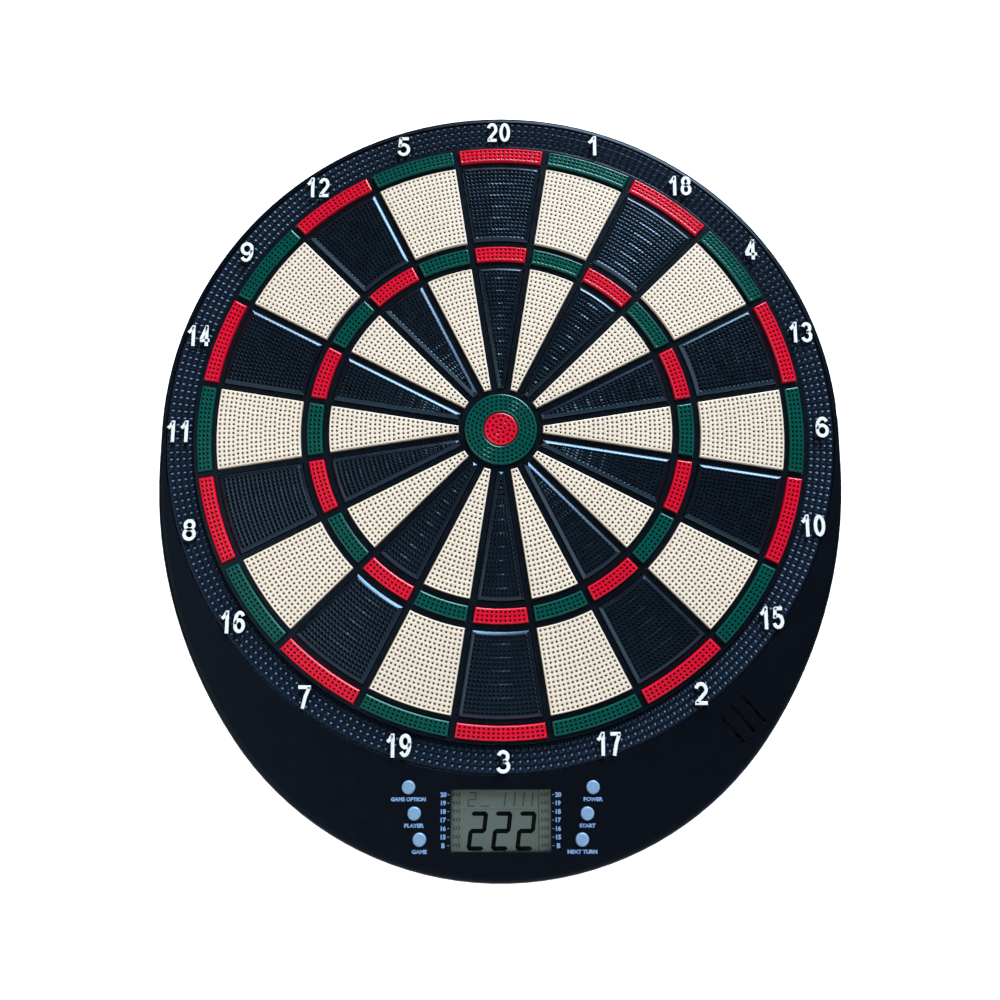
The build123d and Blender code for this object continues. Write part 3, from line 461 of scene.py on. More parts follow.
def bull_edge(radius, towards, width, step_level, reach):
    """A bull's rim, the side behind it and the step that runs outwards to its back: towards is
    1 where the side is outside the holes, -1 where it is inside them."""
    rim = [(radius - towards * share * width, SEGMENT_FACE - rim_sink(share, width), 0.0)
           for share in RIM_STEPS]
    return [*rim, (radius, step_level, SIDE_SHADE), (radius + reach, step_level, SIDE_SHADE),
            (radius + reach, SEGMENT_BACK, SIDE_SHADE)]


OUTER_BULL_HOLES = (27, 33, 39, 45)      # how many holes in each ring, from the middle
INNER_BULL_HOLES = (5, 11, 16)
MIDDLE_CELL = 1.15 * MM      # radius of the ridge round the middle hole


class DARTBOARD_OT_bulls(bpy.types.Operator):
    """Make the outer and the inner bull"""
    bl_idname = "dartboard.bulls"
    bl_label = "Bulls"

    def execute(self, context):
        sizes = context.scene.dartboard_sizes
        width = sizes.ring_rim
        outer = Shape()
        low, high = sizes.bull_bore + width, sizes.outer_bull - width
        bottom, top, *_ = perforate(outer, ring_field(low, high), OUTER_BULL_HOLES,
                                    high - low, sizes, closed=True)
        bore_profile = bull_edge(sizes.bull_bore, -1, width, SHOULDER_LEVEL, BULL_FLANGE_REACH)
        bore = turned_lines(outer, bore_profile, bottom, False)
        side_profile = bull_edge(sizes.outer_bull, 1, width, FLANGE_LEVEL, FLANGE_REACH)
        skirt = turned_lines(outer, side_profile, top, True)
        outer.face(triangles_between(bore, skirt)[:, ::-1])
        make_object("outer_bull_ring", outer, [finish("green_segment")], "outer_bull",
                    ("outer_bull",), weld=True)

        inner = Shape()
        low, high = MIDDLE_CELL, sizes.inner_bull - width
        bottom, top, *_ = perforate(inner, ring_field(low, high), INNER_BULL_HOLES,
                                    high - low, sizes, closed=True)
        # The middle hole: the first row's inner line runs straight down its funnel.
        pit = turned_lines(inner, (
            (sizes.hole_radius, SEGMENT_FACE - sizes.funnel, MOUTH_SHADE),
            (HOLE_TAPER * sizes.hole_radius, SEGMENT_FACE - sizes.hole_depth, 1.0),
        ), bottom, False)
        inner.face(pit[:-1])
        side_profile = bull_edge(sizes.inner_bull, 1, width, FLANGE_LEVEL, BULL_FLANGE_REACH)
        skirt = turned_lines(inner, side_profile, top, True)
        inner.face(skirt[:-1][::-1])
        make_object("inner_bull_dome", inner, [finish("red_segment")], "inner_bull",
                    ("inner_bull",), weld=True)
        return {"FINISHED"}


# ---------------- number ring

STUD_SHARP = 55.0            # degrees over which an edge between faces is drawn hard
STUDS_ROUND = 288
STUD_ROWS = 4
RING_WIDTH = 14.7 * MM
RING_WALL = 4.2 * MM         # from the bars' front back to the ring's back
RING_BORDER = 0.55 * MM      # plain strip beside the first and the last row of studs
RING_EDGE = 0.25 * MM        # width of the rounded edge at both sides of the ring
EDGE_DROPS = np.array([0.05, 0.3]) * MM        # how far that edge sinks, inner and outer step
# One stud's sections from groove to groove: share of the pitch, share of the height.
# Outwards its top rises gently and falls steeply, so it leans towards the bull.
STUD_ROUND = np.array([(0.0, 0.0), (0.17, 0.05), (0.28, 0.72), (0.42, 1.0), (0.58, 1.0),
                       (0.72, 0.72), (0.83, 0.05)]).T
STUD_OUT = np.array([(0.0, 0.0), (0.16, 0.05), (0.26, 0.42), (0.48, 0.78), (0.68, 1.0),
                     (0.78, 0.8), (0.85, 0.05)]).T


class DARTBOARD_OT_number_ring(bpy.types.Operator):
    """Make the studded catch ring"""
    bl_idname = "dartboard.number_ring"
    bl_label = "Number ring"

    def execute(self, context):
        sizes = context.scene.dartboard_sizes
        low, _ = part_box("number_ring")
        inner_radius = RING_OUTER - RING_WIDTH
        back = -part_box("spider")[0].y - RING_WALL
        base = -low.y - sizes.stud_height
        shape = Shape()
        round_share, round_rise = STUD_ROUND
        out_share, out_rise = STUD_OUT
        turns = (np.arange(STUDS_ROUND)[:, None] + round_share) / STUDS_ROUND
        angle = turns.ravel() * 2 * math.pi
        rise_round = np.tile(round_rise, STUDS_ROUND)
        pitch = (RING_WIDTH - 2 * RING_BORDER) / STUD_ROWS
        steps = (np.arange(STUD_ROWS)[:, None] + out_share) * pitch
        radius = np.append(inner_radius + RING_BORDER + steps.ravel(), RING_OUTER - RING_BORDER)
        rise_out = np.append(np.tile(out_rise, STUD_ROWS), 0.0)
        # Height is the dished ring's base plus the stud's height times both sections.
        dish = sizes.ring_dish * (radius - RING_OUTER) / RING_WIDTH
        level = base + dish[:, None] + sizes.stud_height * rise_round * rise_out[:, None]
        edge_radius = np.concatenate([
            [inner_radius, inner_radius, inner_radius + RING_EDGE], radius,
            [RING_OUTER - RING_EDGE, RING_OUTER, RING_OUTER]])
        flat = np.ones_like(angle)
        inner_base = base - sizes.ring_dish
        shallow, deep = EDGE_DROPS
        level = np.vstack([back * flat, (inner_base - deep) * flat, (inner_base - shallow) * flat,
                           level, (base - shallow) * flat, (base - deep) * flat, back * flat])
        angle_grid, radius_grid = np.meshgrid(angle, edge_radius)
        grid = shape.add(radius_grid * np.sin(angle_grid), radius_grid * np.cos(angle_grid), level)
        grid = np.column_stack([grid, grid[:, 0]])
        grid = np.vstack([grid, grid[0]])
        shape.face(grid_faces(grid).reshape(-1, 4))
        make_object("studded_ring", shape, [finish("ring_plastic")], HOUSING,
                    ("number_ring",), sharp=STUD_SHARP)
        return {"FINISHED"}


# ---------------- lettering

PRINT = 0.05 * MM            # how thick a print or a digit is
LETTER_WEIGHT = 0.12 * MM    # thickens a letter's strokes


def write_word(shape, text, right, up, height, width=None):
    """Prints a word on the cover about a middle, in the plain built-in face: it is height tall,
    and squeezed to a width if one is given."""
    curve = bpy.data.curves.new("letters", "FONT")
    curve.body = text
    curve.size = height
    curve.resolution_u = 4
    curve.offset = LETTER_WEIGHT
    curve.extrude = PRINT / 2
    holder = bpy.data.objects.new("letters", curve)
    bpy.context.scene.collection.objects.link(holder)
    bpy.context.view_layer.update()
    seen = holder.evaluated_get(bpy.context.evaluated_depsgraph_get())
    mesh = bpy.data.meshes.new_from_object(seen)
    points = np.array([vertex.co[:] for vertex in mesh.vertices])
    low, high = points.min(0), points.max(0)
    points -= (low + high) / 2
    points[:, :2] *= height / (high[1] - low[1])
    if width:
        points[:, 0] *= width / np.ptp(points[:, 0])
    start = shape.count
    shape.add(points[:, 0] + right, points[:, 1] + up, points[:, 2] + COVER_FACE + PRINT / 2)
    for polygon in mesh.polygons:
        shape.face(np.array(polygon.vertices[:]) + start)
    bpy.data.objects.remove(holder)
    bpy.data.curves.remove(curve)
    bpy.data.meshes.remove(mesh)


def bend(across, up, half_width, half_height, start, end):
    """Points along an ellipse's arc, from one angle to another in degrees."""
    angle = np.radians(np.linspace(start, end, max(3, int(abs(end - start) / 12) + 1)))
    return np.stack([across + half_width * np.cos(angle), up + half_height * np.sin(angle)], 1)


# Middle lines of a digit's strokes in a square from 0 to 1.  A line that comes back to its start
# is closed.  Strokes' ends go past the square by PAST, so that they are level with its edge.
PAST = 0.11
SIX = (bend(0.5, 0.30, 0.5, 0.30, 0, 360), bend(0.56, 0.46, 0.56, 0.54, 188, 42))
NUMERAL_STROKES = {
    "0": (bend(0.5, 0.5, 0.5, 0.5, 90, 450),),
    "1": (((0.68, -PAST), (0.68, 1 + PAST)), ((0.06, 0.68), (0.34, 0.80), (0.62, 1.02))),
    "2": (np.vstack([bend(0.5, 0.70, 0.48, 0.30, 168, -28), [(0.04, 0.02)]]),
          ((-PAST, 0.0), (1 + PAST, 0.0))),
    "3": (bend(0.46, 0.76, 0.44, 0.24, 165, -90), bend(0.46, 0.26, 0.52, 0.26, 90, -165)),
    "4": (((0.70, 1.04), (0.0, 0.28)), ((-PAST, 0.22), (1 + PAST, 0.22)),
          ((0.70, -PAST), (0.70, 1 + PAST))),
    "5": (((0.08, 1.0), (1.0, 1.0)), ((0.16, 1.06), (0.05, 0.46)),
          bend(0.46, 0.31, 0.52, 0.31, 138, -162)),
    "6": SIX,
    "7": (((-PAST, 1.0), (1 + PAST, 1.0)), ((0.98, 1.0), (0.60, 0.52), (0.34, -PAST))),
    "8": (bend(0.5, 0.77, 0.42, 0.23, 90, 450), bend(0.5, 0.27, 0.50, 0.27, 90, 450)),
    "9": tuple(1 - line for line in SIX),
}
STROKE = 0.16                # a stroke's width as a share of the digit's height
DIGIT_WIDTHS = {1: 0.62, 2: 0.53}      # by how many digits the number has
DIGIT_SPACE = 0.09           # between two digits, as a share of their height
NUMERAL_BELOW = 0.6 * MM     # the numbers' fronts lie this far behind the segments' faces
NUMERAL_FOOT = 1.2           # their feet's depth below the studs' tops, in stud heights
STROKE_EDGE = 0.16 * MM      # taken off a stroke's two front edges
NUMERAL_TURN = math.radians(0.45)      # the numbers sit a little to the left of their sectors


def raise_stroke(shape, line, half_width, foot, height):
    """A stroke as a bar carried along its middle line: the bar's six-sided section has its two
    front edges taken off, and it stands square to the line at every point."""
    closes = np.allclose(line[0], line[-1])
    if closes:
        line = line[:-1]
        along = np.roll(line, -1, 0) - np.roll(line, 1, 0)
    else:
        along = np.gradient(line, axis=0)
    along /= np.linalg.norm(along, axis=1)[:, None]
    square = np.stack([-along[:, 1], along[:, 0]], 1)
    flat_half, shoulder = half_width - STROKE_EDGE, height - STROKE_EDGE
    across = np.array([-half_width, -half_width, -flat_half, flat_half, half_width, half_width])
    level = foot + np.array([0.0, shoulder, height, height, shoulder, 0.0])
    grid = shape.add(line[:, :1] + square[:, :1] * across,
                     line[:, 1:] + square[:, 1:] * across, level)
    if closes:
        grid = np.vstack([grid, grid[:1]])
    around = np.column_stack([grid, grid[:, :1]])
    faces = grid_faces(around)
    shape.face(faces[:, 1:4].reshape(-1, 4))
    shape.face(faces[:, [0, 4, 5]].reshape(-1, 4), 1)
    if not closes:
        shape.face(grid[0][::-1], 1)
        shape.face(grid[-1], 1)


class DARTBOARD_OT_numerals(bpy.types.Operator):
    """Make the twenty raised numbers"""
    bl_idname = "dartboard.numerals"
    bl_label = "Numbers"

    def execute(self, context):
        sizes = context.scene.dartboard_sizes
        shape = Shape()
        height = sizes.numeral_height
        stroke = STROKE * height
        top = SEGMENT_FACE - NUMERAL_BELOW
        foot = -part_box("number_ring")[0].y - NUMERAL_FOOT * sizes.stud_height
        for place, number in enumerate(SECTOR_NUMBERS):
            digits = str(number)
            width = DIGIT_WIDTHS[len(digits)] * height
            advance = width + DIGIT_SPACE * height
            bearing = place * SECTOR_STEP - NUMERAL_TURN
            middle = sizes.numeral_radius * np.array([math.sin(bearing), math.cos(bearing)])
            for column, digit in enumerate(digits):
                shift = (column - (len(digits) - 1) / 2) * advance
                low = middle + [shift - (width - stroke) / 2, (stroke - height) / 2]
                for line in NUMERAL_STROKES[digit]:
                    placed = low + np.array(line) * [width - stroke, height - stroke]
                    raise_stroke(shape, placed, stroke / 2, foot, top - foot)
        make_object("raised_numbers", shape, [finish("print_white"), finish("ring_plastic")],
                    HOUSING)
        return {"FINISHED"}


DISPLAY_X = (DISPLAY_LOW.x + DISPLAY_HIGH.x) / 2
DISPLAY_Z = (DISPLAY_LOW.z + DISPLAY_HIGH.z) / 2
LENS_BORDER = 1.8 * MM       # from the lens's edge to the counters' area
SIDE_NUMBERS = ("20", "19", "18", "17", "16", "15", "B")
SIDE_TOP = 13.2 * MM         # the highest side number, above the display's middle
SIDE_PITCH = 4.28 * MM
SIDE_SIZE = 2.5 * MM
SIDE_AWAY = 3.9 * MM         # middle of a side number, outside the counters' area
TICK_AWAY = 1.2 * MM
TICK_HALF = np.array([0.5, 0.14]) * MM         # half a tick's width and height
BUTTON_WORDS = {
    "mode_button": ("GAME OPTION", 18.4 * MM), "players_button": ("PLAYER", 10.4 * MM),
    "game_button": ("GAME", 7.8 * MM), "power_button": ("POWER", 10.2 * MM),
    "start_button": ("START", 8.4 * MM), "next_button": ("NEXT TURN", 15.6 * MM),
}
WORD_BELOW = 6.1 * MM        # from a button's middle down to its word's
WORD_SIZE = 2.1 * MM


def flat_box(shape, right, up, half_width, half_height, level):
    """A flat upright box about a middle."""
    x = right + half_width * np.array([-1, 1, 1, -1])
    z = up + half_height * np.array([-1, -1, 1, 1])
    shape.face(shape.add(x, z, level))


class DARTBOARD_OT_legends(bpy.types.Operator):
    """Print the small legends round the display and under the buttons"""
    bl_idname = "dartboard.legends"
    bl_label = "Legends"

    def execute(self, context):
        shape = Shape()
        half_width = (DISPLAY_HIGH.x - DISPLAY_LOW.x) / 2 - LENS_BORDER
        for side in (-1, 1):
            for row, text in enumerate(SIDE_NUMBERS):
                up = DISPLAY_Z + SIDE_TOP - row * SIDE_PITCH
                write_word(shape, text, DISPLAY_X + side * (half_width + SIDE_AWAY), up, SIDE_SIZE)
                flat_box(shape, DISPLAY_X + side * (half_width + TICK_AWAY), up, *TICK_HALF,
                         COVER_FACE + PRINT)
        for node, (word, width) in BUTTON_WORDS.items():
            low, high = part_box(node)
            write_word(shape, word, (low.x + high.x) / 2, (low.z + high.z) / 2 - WORD_BELOW,
                       WORD_SIZE, width)
        make_object("printed_legends", shape, [finish("legend_print")], HOUSING)
        return {"FINISHED"}


# The bars of a digit: ends as shares of its width and height.
DIGIT_BARS = {
    "a": ((0, 1), (1, 1)), "b": ((1, 1), (1, 0.5)), "c": ((1, 0.5), (1, 0)),
    "d": ((0, 0), (1, 0)), "e": ((0, 0.5), (0, 0)), "g": ((0, 0.5), (1, 0.5)),
}
DIGIT_PATTERNS = {"2": "abged", "1": "bc"}
SLANT = 0.12
BAR_OVERLAP = 0.35           # how far a bar's points run past its ends, as a share of its width
DIGIT_BACK = 0.01 * MM       # from the glass
MARK_LEVEL = 0.03 * MM

# Millimetres from the display's middle, and sizes.
BIG_DIGITS = (-16.9, -14.4, 12.8)        # left foot's place, and the pitch
BIG_SIZE = (7.0, 17.6, 2.3)              # width, height and width of a bar
SMALL_DIGITS = (("2", -17.4, (3.6, 6.8, 0.8)),
                *(("1", right - 2.0, (2.0, 6.8, 0.9)) for right in (1.8, 6.9, 11.6, 16.3)))
SMALL_UP = 7.0
# An underscore, a rule under the small row and one beside the counters at each side.
RULES = ((-8.3, 6.95, 2.3, 0.35), (-0.75, 5.4, 19.75, 0.1),
         (19.95, 0.0, 0.35, 15.4), (-22.2, 0.0, 0.2, 15.4))
COUNTER_COLUMNS = (21.8, 23.3, 24.8)
COUNTER_TOP = 13.0
COUNTER_HALF = np.array([0.5, 0.9]) * MM


def draw_digit(shape, text, right, up, size):
    """Digits made of bars, which lean.  A bar is a long hexagon, pointed at both ends."""
    width, height, stroke = np.array(size) * MM
    half = stroke / 2
    for pair in DIGIT_PATTERNS[text]:
        start, end = np.array(DIGIT_BARS[pair]) * [width, height]
        along = (end - start) / np.linalg.norm(end - start)
        across = np.array([-along[1], along[0]])
        start = start - BAR_OVERLAP * stroke * along
        end = end + BAR_OVERLAP * stroke * along
        corners = np.array([
            start, start + half * (along - across), end - half * (along + across),
            end, end - half * (along - across), start + half * (along + across)])
        corners[:, 0] += corners[:, 1] * SLANT
        x, z = DISPLAY_X + right * MM + corners[:, 0], DISPLAY_Z + up * MM + corners[:, 1]
        top = shape.add(x, z, GLASS_FACE + PRINT)
        low = shape.add(x, z, GLASS_FACE + DIGIT_BACK)
        shape.face(top)
        shape.face(low[::-1])
        shape.face(quads_between(np.append(low, low[0]), np.append(top, top[0])))


class DARTBOARD_OT_display(bpy.types.Operator):
    """Make the dark digits and marks on the display glass"""
    bl_idname = "dartboard.display"
    bl_label = "Display digits"

    def execute(self, context):
        digits, marks = Shape(), Shape()
        left, up, pitch = BIG_DIGITS
        for column in range(3):
            draw_digit(digits, "2", left + column * pitch, up, BIG_SIZE)
        for text, right, size in SMALL_DIGITS:
            draw_digit(marks, text, right, SMALL_UP, size)
        level = GLASS_FACE + MARK_LEVEL
        for right, up, half_width, half_height in RULES:
            flat_box(marks, DISPLAY_X + right * MM, DISPLAY_Z + up * MM,
                     half_width * MM, half_height * MM, level)
        # Three columns at each side, one row for each number beside the glass.
        for side in (-1, 1):
            for row in range(len(SIDE_NUMBERS)):
                for away in COUNTER_COLUMNS:
                    flat_box(marks, DISPLAY_X + side * away * MM,
                             DISPLAY_Z + COUNTER_TOP * MM - row * SIDE_PITCH,
                             *COUNTER_HALF, level)
        make_object("display_marks", marks, [finish("digit_faint")], HOUSING)
        make_object("display_digits", digits, [finish("digit_dark")], HOUSING)
        return {"FINISHED"}


# ---------------- shared effects

NUMBER = "NodeSocketFloat"
COLOUR = "NodeSocketColor"
DIRECTION = "NodeSocketVector"
# Noises of moulded plastic: scale per metre, detail and roughness, then the span that is
# stretched and what it is stretched to.
NOISES = {
    "drift": (22.0, 3.0, 0.55, 0.3, 0.7, 0.0, 1.0),
    "dust": (310.0, 6.0, 0.7, 0.52, 0.78, 0.0, 1.0),
    "wear": (900.0, 5.0, 0.65, 0.35, 0.65, 0.3, 1.0),
    "scuff": (140.0, 5.0, 0.7, 0.3, 0.7, -1.0, 1.0),
}
GRAIN_SCALE = 3200.0
DUST_DULLS = 0.5             # how much dust adds to the roughness
DUST_COLOUR = (0.62, 0.64, 0.66)
WEAR_COLOUR = (0.35, 0.38, 0.42)
GRAIN_DEPTH = 0.06 * MM


def set_input(tree, socket, value):
    """Gives a socket a number, a colour or another socket's value."""
    if isinstance(value, bpy.types.NodeSocket):
        tree.links.new(value, socket)
    elif isinstance(value, (int, float)):
        socket.default_value = value
    else:
        socket.default_value = (*value[:3], 1.0)


def set_inputs(tree, node, values):
    """Gives a node's named sockets their values."""
    for label, value in values.items():
        set_input(tree, node.inputs[label], value)


def new_group(name, inputs, outputs):
    """An empty shader group with named sockets."""
    group = bpy.data.node_groups.new(name, "ShaderNodeTree")
    for label, kind, default in inputs:
        socket = group.interface.new_socket(label, in_out="INPUT", socket_type=kind)
        if default is not None:
            socket.default_value = default
    for label, kind in outputs:
        group.interface.new_socket(label, in_out="OUTPUT", socket_type=kind)
    return group, group.nodes.new("NodeGroupInput"), group.nodes.new("NodeGroupOutput")


def noise(tree, scale, detail=3.0, roughness=0.55):
    """Noise on object coordinates, scale per metre."""
    where = tree.nodes.new("ShaderNodeTexCoord")
    texture = tree.nodes.new("ShaderNodeTexNoise")
    set_inputs(tree, texture, {"Scale": scale, "Detail": detail, "Roughness": roughness,
                               "Vector": where.outputs["Object"]})
    return texture.outputs["Fac"]


def math_node(tree, operation, first, second):
    """One sum on two values or sockets."""
    node = tree.nodes.new("ShaderNodeMath")
    node.operation = operation
    set_input(tree, node.inputs[0], first)
    set_input(tree, node.inputs[1], second)
    return node.outputs[0]


def remap(tree, value, low, high, to_low, to_high):
    """Stretches a value from one span to another and clamps it."""
    node = tree.nodes.new("ShaderNodeMapRange")
    set_inputs(tree, node, {"Value": value, "From Min": low, "From Max": high,
                            "To Min": to_low, "To Max": to_high})
    return node.outputs["Result"]


def mix_colour(tree, share, first, second):
    """Mixes two colours or sockets."""
    node = tree.nodes.new("ShaderNodeMix")
    node.data_type = "RGBA"
    for place, value in ((0, share), (6, first), (7, second)):
        set_input(tree, node.inputs[place], value)
    return node.outputs[2]


def moulded_plastic_group():
    """Moulded plastic: colour that drifts a little, dust in patches, fine grain in the surface
    and scuffs that change how rough it is."""
    group, given, result = new_group(
        "moulded_plastic",
        (("Color", COLOUR, (0.5, 0.5, 0.5, 1.0)), ("Drift", NUMBER, 0.1), ("Dust", NUMBER, 0.02),
         ("Roughness", NUMBER, 0.35), ("Scuff", NUMBER, 0.08), ("Grain", NUMBER, 0.1),
         ("Wear", NUMBER, 0.0), ("Normal", DIRECTION, None)),
        (("Color", COLOUR), ("Roughness", NUMBER), ("Normal", DIRECTION)))
    given = given.outputs

    def share(kind):
        scale, detail, roughness, *spans = NOISES[kind]
        field = remap(group, noise(group, scale, detail, roughness), *spans)
        return math_node(group, "MULTIPLY", field, given[kind.capitalize()])

    dust = share("dust")
    darker = mix_colour(group, share("drift"), given["Color"], (0.0, 0.0, 0.0))
    dusty = mix_colour(group, dust, darker, DUST_COLOUR)
    worn = mix_colour(group, share("wear"), dusty, WEAR_COLOUR)
    rough = math_node(group, "ADD", share("scuff"), given["Roughness"])
    dull = math_node(group, "ADD", rough, math_node(group, "MULTIPLY", dust, DUST_DULLS))
    bump = group.nodes.new("ShaderNodeBump")
    set_inputs(group, bump, {"Distance": GRAIN_DEPTH, "Strength": given["Grain"],
                             "Height": noise(group, GRAIN_SCALE, 2.0),
                             "Normal": given["Normal"]})
    set_inputs(group, result, {"Color": worn, "Roughness": dull, "Normal": bump.outputs[0]})
    return group


EDGE_SPAN = (0.98, 0.72)     # how far the two normals agree at no wear and at full wear
BEVEL_SAMPLES = 4


def worn_edges_group():
    """Worn edges: a normal rounded over the edges, and a mask that is bright where it leaves
    the flat face's own normal."""
    group, given, result = new_group(
        "worn_edges", (("Radius", NUMBER, 0.5 * MM),),
        (("Mask", NUMBER), ("Normal", DIRECTION)))
    bevel = group.nodes.new("ShaderNodeBevel")
    bevel.samples = BEVEL_SAMPLES
    group.links.new(given.outputs["Radius"], bevel.inputs["Radius"])
    face = group.nodes.new("ShaderNodeNewGeometry")
    dot = group.nodes.new("ShaderNodeVectorMath")
    dot.operation = "DOT_PRODUCT"
    group.links.new(bevel.outputs["Normal"], dot.inputs[0])
    group.links.new(face.outputs["Normal"], dot.inputs[1])
    mask = remap(group, dot.outputs["Value"], *EDGE_SPAN, 0.0, 1.0)
    set_inputs(group, result, {"Mask": mask, "Normal": bevel.outputs["Normal"]})
    return group


GROUP_MAKERS = {"moulded_plastic": moulded_plastic_group, "worn_edges": worn_edges_group}


def place_group(tree, name, **values):
    """Puts a shared group into a material and sets its inputs."""
    node = tree.nodes.new("ShaderNodeGroup")
    node.node_tree = bpy.data.node_groups.get(name) or GROUP_MAKERS[name]()
    set_inputs(tree, node, values)
    return node


# ---------------- finishes

def start_material(name):
    """A material with an empty tree, its output and one Principled shader."""
    material = bpy.data.materials.new(name)
    material.use_nodes = True
    tree = material.node_tree
    tree.nodes.clear()
    output = tree.nodes.new("ShaderNodeOutputMaterial")
    shader = tree.nodes.new("ShaderNodeBsdfPrincipled")
    tree.links.new(shader.outputs["BSDF"], output.inputs["Surface"])
    return material, tree, shader


SHADE_SPAN = (0.15, 0.75)    # of the shade attribute, from no painted shade to all of it
# the most that painted shade darkens a colour towards black
HOLE_DARKNESS = 0.97


def plastic(name, tint, roughness, drift=0.12, dust=0.03, scuff=0.06, grain=0.12, wear=0.0,
            edges=False, shaded=False, coat=0.0, metallic=0.0, specular=0.5, gloss=(1.0, 1.0, 1.0)):
    """A moulded, printed or plated finish.  shaded darkens the holes with painted shade, by the
    piece's own attribute, edges wears and softens the edges of a CAD piece."""
    material, tree, shader = start_material(name)
    base = tint
    if shaded:
        # Painted shade: the shade attribute darkens the colour towards black in holes and on sides.
        depth = tree.nodes.new("ShaderNodeAttribute")
        depth.attribute_name = "shade"
        deep = remap(tree, depth.outputs["Fac"], *SHADE_SPAN, 0.0, HOLE_DARKNESS)
        base = mix_colour(tree, deep, tint, (0.0, 0.0, 0.0))
    values = {"Color": base, "Drift": drift, "Dust": dust, "Roughness": roughness,
              "Scuff": scuff, "Grain": grain}
    if edges:
        rounded = place_group(tree, "worn_edges")
        values["Wear"] = math_node(tree, "MULTIPLY", rounded.outputs["Mask"], wear)
        values["Normal"] = rounded.outputs["Normal"]
    surface = place_group(tree, "moulded_plastic", **values).outputs
    set_inputs(tree, shader, {
        "Base Color": surface["Color"], "Roughness": surface["Roughness"],
        "Normal": surface["Normal"], "Metallic": metallic, "Coat Weight": coat,
        "Specular IOR Level": specular, "Specular Tint": gloss})
    return material


def clear_lens(name):
    """Clear acrylic: almost nothing but its gloss, with faint smears."""
    material, tree, shader = start_material(name)
    smear = remap(tree, noise(tree, 90.0, 4.0), 0.35, 0.75, 0.02, 0.09)
    set_inputs(tree, shader, {"Roughness": smear, "Base Color": (0.97, 0.98, 0.98),
                              "Transmission Weight": 1.0, "IOR": 1.12})
    return material


BLUE_GLOSS = (0.40, 0.68, 1.0)         # the cool gloss of the black mouldings
GREEN_GLOSS = (0.55, 1.0, 0.90)
# Each finish: its own colour or the name of one that a user may change, how rough it is, and
# what else differs from plain plastic.
FINISHES = {
    "black_segment": ("black", 0.25, dict(shaded=True, dust=0.006, grain=0.08, specular=0.75,
                                          gloss=BLUE_GLOSS)),
    "cream_segment": ("cream", 0.42, dict(drift=0.06, dust=0.0, shaded=True)),
    "red_segment": ("red", 0.25, dict(shaded=True, dust=0.003, grain=0.08, specular=0.32)),
    "green_segment": ("green", 0.25, dict(shaded=True, dust=0.002, grain=0.08, specular=0.36,
                                          gloss=GREEN_GLOSS)),
    "housing_plastic": ("housing", 0.34, dict(dust=0.004, scuff=0.05, grain=0.08, wear=0.02,
                                              edges=True, specular=0.12, gloss=BLUE_GLOSS)),
    "spider_plastic": ((0.003, 0.004, 0.007), 0.30, dict(dust=0.004, wear=0.03, edges=True,
                                                         specular=0.4, gloss=BLUE_GLOSS)),
    "ring_plastic": ("ring", 0.26, dict(dust=0.004, grain=0.06, specular=0.34, gloss=BLUE_GLOSS)),
    "print_white": ("print_white", 0.38, dict(drift=0.03, dust=0.0)),
    "legend_print": ("legend", 0.5, dict(drift=0.05, dust=0.0)),
    "digit_dark": ("digit", 0.4, dict(drift=0.05, dust=0.0, grain=0.0, specular=0.1)),
    "digit_faint": ("mark", 0.4, dict(drift=0.05, dust=0.0, grain=0.0, specular=0.1)),
    "button_plastic": ("button", 0.28, dict(drift=0.04, dust=0.01, wear=0.15, edges=True)),
    "display_glass": ("display", 0.33, dict(drift=0.10, dust=0.02, grain=0.02)),
    "mat_rubber": ((0.012, 0.012, 0.013), 0.7, dict(dust=0.06, grain=0.4)),
    "film": ((0.50, 0.53, 0.48), 0.25, dict(grain=0.02)),
    "board": ((0.01, 0.09, 0.03), 0.38, dict(wear=0.2, edges=True)),
    "component": ((0.010, 0.010, 0.011), 0.45, dict(wear=0.1, edges=True)),
    "key_rubber": ((0.28, 0.29, 0.30), 0.6, dict(grain=0.2)),
    "steel": ((0.56, 0.56, 0.58), 0.3, dict(metallic=1.0, wear=0.3, edges=True)),
    "screw_steel": ((0.10, 0.10, 0.11), 0.32, dict(metallic=1.0, wear=0.5, edges=True)),
    "cell_wrap": ((0.07, 0.08, 0.10), 0.3, dict(metallic=0.6, coat=0.4)),
    "foam": ((0.010, 0.010, 0.010), 0.85, dict(grain=0.9, dust=0.06)),
    "lead_cover": ((0.30, 0.010, 0.008), 0.4, dict(grain=0.05)),
    "plate_plastic": ((0.032, 0.032, 0.035), 0.45, dict(grain=0.2, wear=0.1, edges=True)),
}


def finish(kind):
    """The finish of that kind, made the first time it is asked for."""
    name = kind + "_finish"
    found = bpy.data.materials.get(name)
    if found:
        return found
    if kind == "lens_plastic":
        return clear_lens(name)
    tint, roughness, others = FINISHES[kind]
    if isinstance(tint, str):
        tint = getattr(bpy.context.scene.dartboard_colours, tint)
    return plastic(name, tint, roughness, **others)


class DARTBOARD_OT_finishes(bpy.types.Operator):
    """Give every carried-over piece of the model its finish"""
    bl_idname = "dartboard.finishes"
    bl_label = "Finishes"

    def execute(self, context):
        for part in frame["record"]["subparts"]:
            node = frame["nodes"][part["node"]]
            node.data.materials.clear()
            node.data.materials.append(finish(part["material_slot"]))
        return {"FINISHED"}


# ---------------- camera and stage

CAMERA_DISTANCE = 0.500      # in front of the segments' faces
CAMERA_RIGHT = -0.003
CAMERA_UP = -0.123
CAMERA_AIM = (0.005, 0.9867, 0.163)
CAMERA_LENS = 33.0
FLOOR_DROP = 0.9             # floor below the board's lowest point
WALL_BEHIND = 0.05           # the pale wall's distance behind the board's own
STAGE_HALF = 4.0
